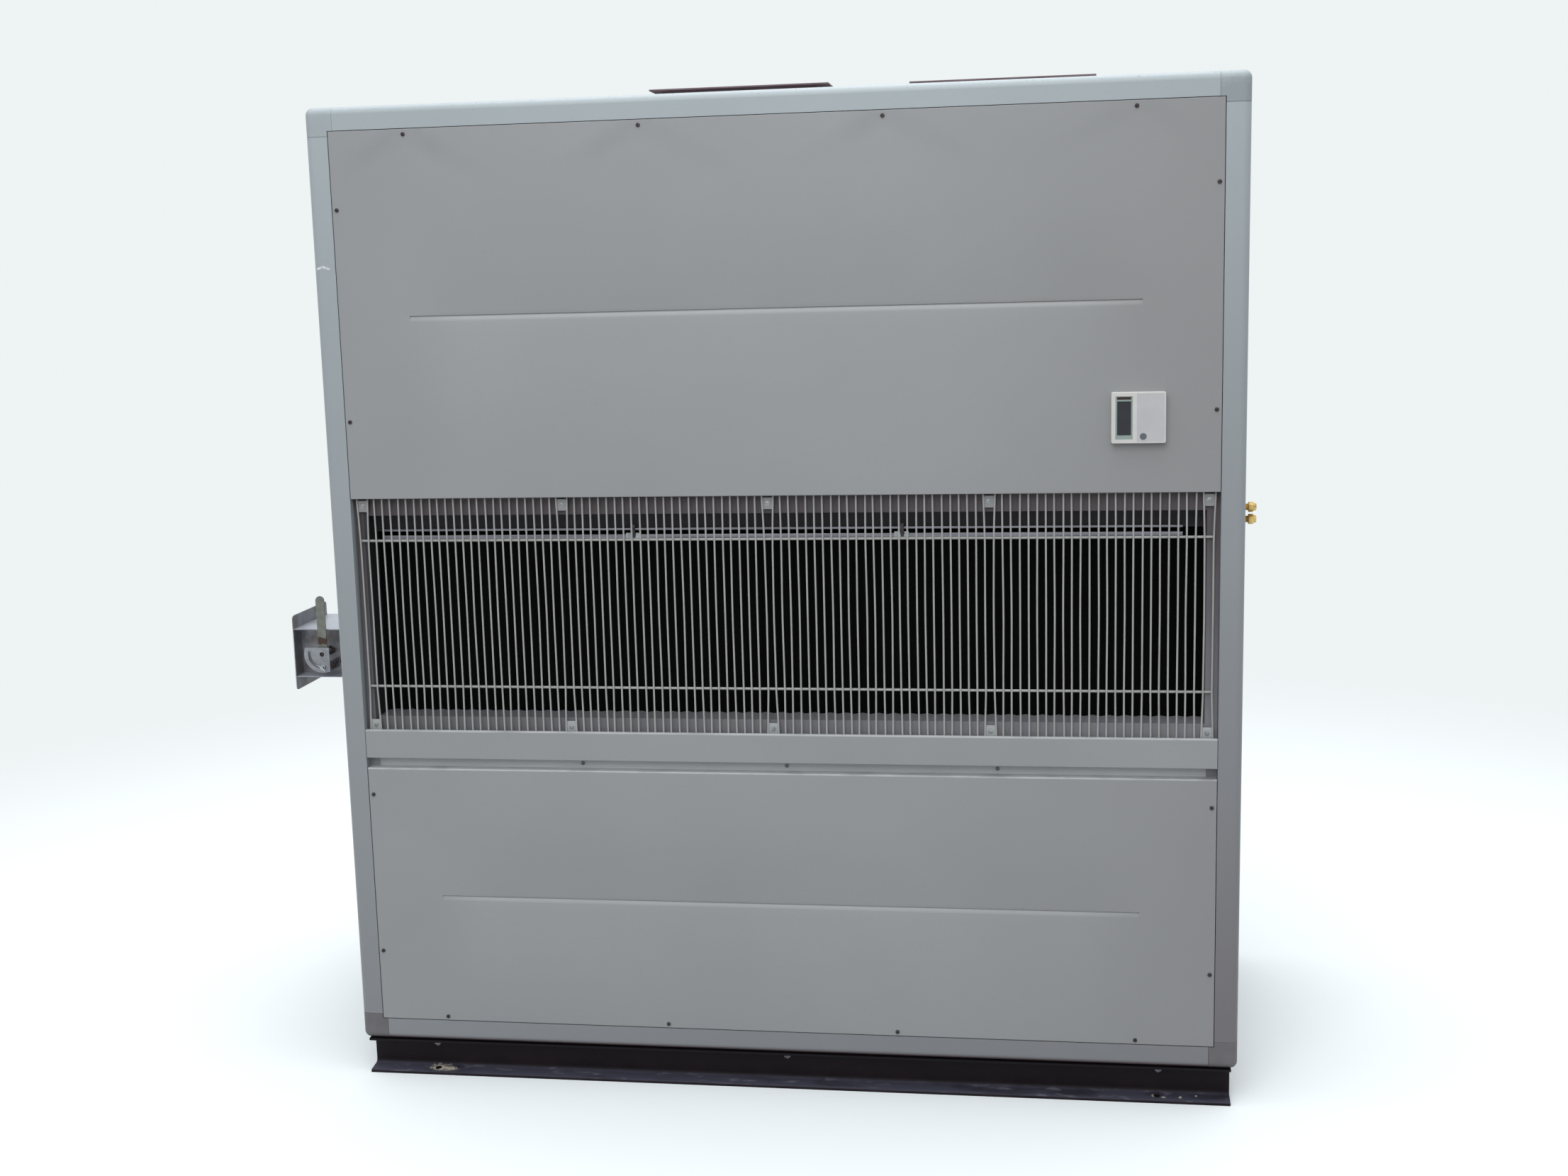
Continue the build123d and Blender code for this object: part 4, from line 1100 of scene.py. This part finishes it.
class CABINET_OT_finishes(Operator):
    """Finishes of the cabinet's own nodes, by node or by the slot that the record names for each"""

    bl_idname = "cabinet.finishes"
    bl_label = "Finishes"

    def execute(self, context):
        colours = context.scene.cabinet_colours
        by_slot = {
            "panel_coat": coated_panel(colours),
            "frame_coat": coated_extrusion(colours),
            "casting_paint": painted_casting(
                "painted zinc casting", tone(colours.frame, 0.97), 0.3, TOP_RIGHT_CASTING),
            "grille_coat": coated_wire(colours),
            "base_paint": black_enamel(colours),
            "galvanised_sheet": galvanised("soiled galvanised sheet", colours.zinc, 0.85),
            "lever_steel": lever_bar(),
            "collar_paint": chalky_primer(colours),
            "fan_steel": mill_sheet("galvanised fan sheet", "#9AA0A6", "#7E848A", 0.45)[0],
            "shaft_steel": mill_sheet("ground shaft steel", "#8E9196", "#74777C", 0.35)[0],
            "rail_aluminium": mill_sheet("mill-finish aluminium", "#92919A", "#78777F", 0.45)[0],
            "filter_media": filter_fleece(),
            "controller_case": moulded_plastic("moulded white ABS", colours.case, 0.42),
            "controller_door": moulded_plastic("moulded grey ABS", colours.flap, 0.45),
            "button_plastic": moulded_plastic("moulded dark ABS", linear("#5B6069"), 0.4),
            "display_window": moulded_plastic("display bezel ABS", linear("#8FA09A"), 0.35),
            "fitting_brass": turned_brass(colours),
        }
        by_node = {
            "upper_front_panel": creased_sheet(colours, "upper_front_panel", TOP_SCREW_PITCH),
            "lower_front_panel": creased_sheet(colours, "lower_front_panel"),
            "grille_surround": coated_ledge(colours),
            # Painted light: the panels' grey made 1.7 times lighter, for light that reaches the strip
            # under the sill
            "recess_strip": powder_coat(
                "powder-coated strip", tone(colours.panel, 1.7), 200, 0.04, 0.5)[0],
            "grille_sill": bent_sheet(colours, "grille_sill"),
            # The posts darken towards the floor, the right post more: grime and painted shade
            "front_left_post": coated_extrusion(colours, ", left post", 0.7, LEFT_POST_SCRATCH),
            "front_right_post": coated_extrusion(colours, ", right post", 1.1),
            "bottom_front_rail": coated_extrusion(
                colours, ", bottom rail", 0.6, rim=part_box("bottom_front_rail")[1].z),
            "bottom_corner_castings": painted_casting(
                "grimy zinc casting", tone(colours.grime, 0.9), 0.8),
            "grille_tabs": pressed_tab(),
            "damper_quadrant": galvanised("clean galvanised sheet", tone(colours.zinc, 0.9), 0.35),
        }
        for subpart in frame["record"]["subparts"]:
            node = subpart["node"]
            piece = frame["nodes"][node]
            piece.data.materials.clear()
            piece.data.materials.append(by_node.get(node) or by_slot[subpart["material_slot"]])
        return {"FINISHED"}


# Studio

FLOOR_RADIUS = 40
FADE_START, FADE_END = 1.6, 4.5   # where the floor fades into the backdrop, in metres from the middle
# Soft boxes: place, target, size and power
LAMPS = {
    "key": ((-0.4, -5.4, 4.9), (0, -0.45, 1.0), 4.0, 132),
    "overhead": ((0.1, 0.1, 5.4), (0, 0.0, 2.0), 4.4, 120),
}
CAMERA_PLACE = Vector((0.5879, -4.1586, 1.7134))
CAMERA_TURN = (8.6547, -9.3423, 1.4646)          # yaw, pitch and roll in degrees


class CABINET_OT_studio(Operator):
    """Pale floor, soft light and the camera at the photograph's place"""

    bl_idname = "cabinet.studio"
    bl_label = "Studio"

    def execute(self, context):
        colours = context.scene.cabinet_colours
        lay_floor(colours)
        light_world(colours)
        for name, settings in LAMPS.items():
            soft_light(name, *settings)
        place_camera(context)
        context.scene.view_settings.view_transform = "Standard"
        return {"FINISHED"}


def background_share(tree):
    """1 for the rays that see the backdrop itself: camera, glossy and transmission rays."""
    path = add_node(tree, "LightPath").node.outputs
    seen = add_node(tree, "Math", [path["Is Camera Ray"], path["Is Glossy Ray"]], operation="MAXIMUM")
    return add_node(tree, "Math", [seen, path["Is Transmission Ray"]], operation="MAXIMUM")


def lay_floor(colours):
    """Round floor that keeps the object's shadow, throws back little light and fades into the backdrop."""
    deselect()
    bpy.ops.mesh.primitive_circle_add(
        vertices=96, radius=FLOOR_RADIUS, fill_type="NGON", location=(0, 0, 0))
    floor = named(apply_place(), "studio_floor")
    material, place = start_finish("pale studio floor", 0.9)
    tree = material.node_tree
    seen = background_share(tree)
    pale = blotched(linear("#8C8A8A"), tone(colours.floor), seen)
    dress(material, {"Base Color": pale, "Specular IOR Level": 0.1})
    reach = add_node(tree, "VectorMath", [place], "Value", operation="LENGTH")
    far = add_node(tree, "MapRange", [reach, FADE_START, FADE_END], interpolation_type="SMOOTHSTEP")
    share = add_node(tree, "Math", [far, seen], operation="MULTIPLY")
    glow = add_node(tree, "Emission", [tone(colours.floor), 1.0])
    mixed = add_node(tree, "MixShader", [share, tree.nodes["Principled BSDF"].outputs[0], glow])
    fill(tree.nodes["Material Output"], {"Surface": mixed})
    floor.data.materials.append(material)


def light_world(colours):
    """Soft light that is stronger from above, with the backdrop's own colour where it is seen."""
    world = bpy.data.worlds.new("studio")
    world.use_nodes = True
    bpy.context.scene.world = world
    tree = world.node_tree
    direction = add_node(tree, "TexCoord", output="Generated")
    upward = add_node(tree, "SeparateXYZ", [direction], "Z")
    level = add_node(tree, "MapRange", [upward, -0.4, 0.9, 0.3, 1.18])
    ambient = tree.nodes["Background"]
    fill(ambient, {"Color": linear("#F8FBFF"), "Strength": level})
    backdrop = add_node(tree, "Background", [tone(colours.floor), 1.0])
    mixed = add_node(tree, "MixShader", [background_share(tree), ambient.outputs[0], backdrop])
    fill(tree.nodes["World Output"], {"Surface": mixed})


def soft_light(name, place, target, size, power):
    """Square soft box aimed at a target."""
    lamp = bpy.data.lights.new(name, "AREA")
    lamp.energy = power
    lamp.size = size
    holder = bpy.data.objects.new(name, lamp)
    holder.location = place
    holder.rotation_euler = (Vector(target) - Vector(place)).to_track_quat("-Z", "Y").to_euler()
    holder.visible_camera = False
    bpy.context.collection.objects.link(holder)


def place_camera(context):
    """Camera where the photograph was taken from, turned, tipped and rolled as it was."""
    yaw, pitch, roll = (math.radians(angle) for angle in CAMERA_TURN)
    forward = Vector((-math.sin(yaw) * math.cos(pitch), math.cos(yaw) * math.cos(pitch), math.sin(pitch)))
    level = Vector((math.cos(yaw), math.sin(yaw), 0))
    below = forward.cross(level)
    across = math.cos(roll) * level + math.sin(roll) * below
    down = math.cos(roll) * below - math.sin(roll) * level
    camera = bpy.data.cameras.new("photo_camera")
    camera.sensor_fit = "HORIZONTAL"
    camera.sensor_width = 36
    camera.lens = context.scene.cabinet_sizes.lens
    camera.clip_end = 200
    holder = bpy.data.objects.new("photo_camera", camera)
    turn = Matrix((across, -down, -forward)).transposed().to_4x4()
    holder.matrix_world = Matrix.Translation(CAMERA_PLACE) @ turn
    context.collection.objects.link(holder)
    context.scene.camera = holder


class CABINET_PT_sidebar(Panel):
    """Steps and settings in the 3D view's sidebar"""

    bl_idname = "CABINET_PT_sidebar"
    bl_label = "Air Conditioner"
    bl_space_type = "VIEW_3D"
    bl_region_type = "UI"
    bl_category = "Air Conditioner"

    def draw(self, context):
        layout = self.layout
        for step in STEPS:
            layout.operator(step.bl_idname)
        for settings in (context.scene.cabinet_sizes, context.scene.cabinet_colours):
            for name in settings.__annotations__:
                layout.prop(settings, name)


STEPS = (
    CABINET_OT_finishes,
    CABINET_OT_panel_screws,
    CABINET_OT_base_nuts,
    CABINET_OT_grille_wires,
    CABINET_OT_grille_fittings,
    CABINET_OT_damper_fasteners,
    CABINET_OT_controller_trim,
    CABINET_OT_pipe_unions,
    CABINET_OT_studio,
)
CLASSES = (CabinetSizes, CabinetColours) + STEPS + (CABINET_PT_sidebar,)


def register():
    for entry in CLASSES:
        bpy.utils.register_class(entry)
    bpy.types.Scene.cabinet_sizes = PointerProperty(type=CabinetSizes)
    bpy.types.Scene.cabinet_colours = PointerProperty(type=CabinetColours)


def unregister():
    del bpy.types.Scene.cabinet_colours
    del bpy.types.Scene.cabinet_sizes
    for entry in reversed(CLASSES):
        bpy.utils.unregister_class(entry)


def main():
    register()
    bpy.ops.cabinet.finishes()
    bpy.ops.cabinet.panel_screws()
    bpy.ops.cabinet.base_nuts()
    bpy.ops.cabinet.grille_wires()
    bpy.ops.cabinet.grille_fittings()
    bpy.ops.cabinet.damper_fasteners()
    bpy.ops.cabinet.controller_trim()
    bpy.ops.cabinet.pipe_unions()
    bpy.ops.cabinet.studio()


if __name__ == "__main__":
    main()
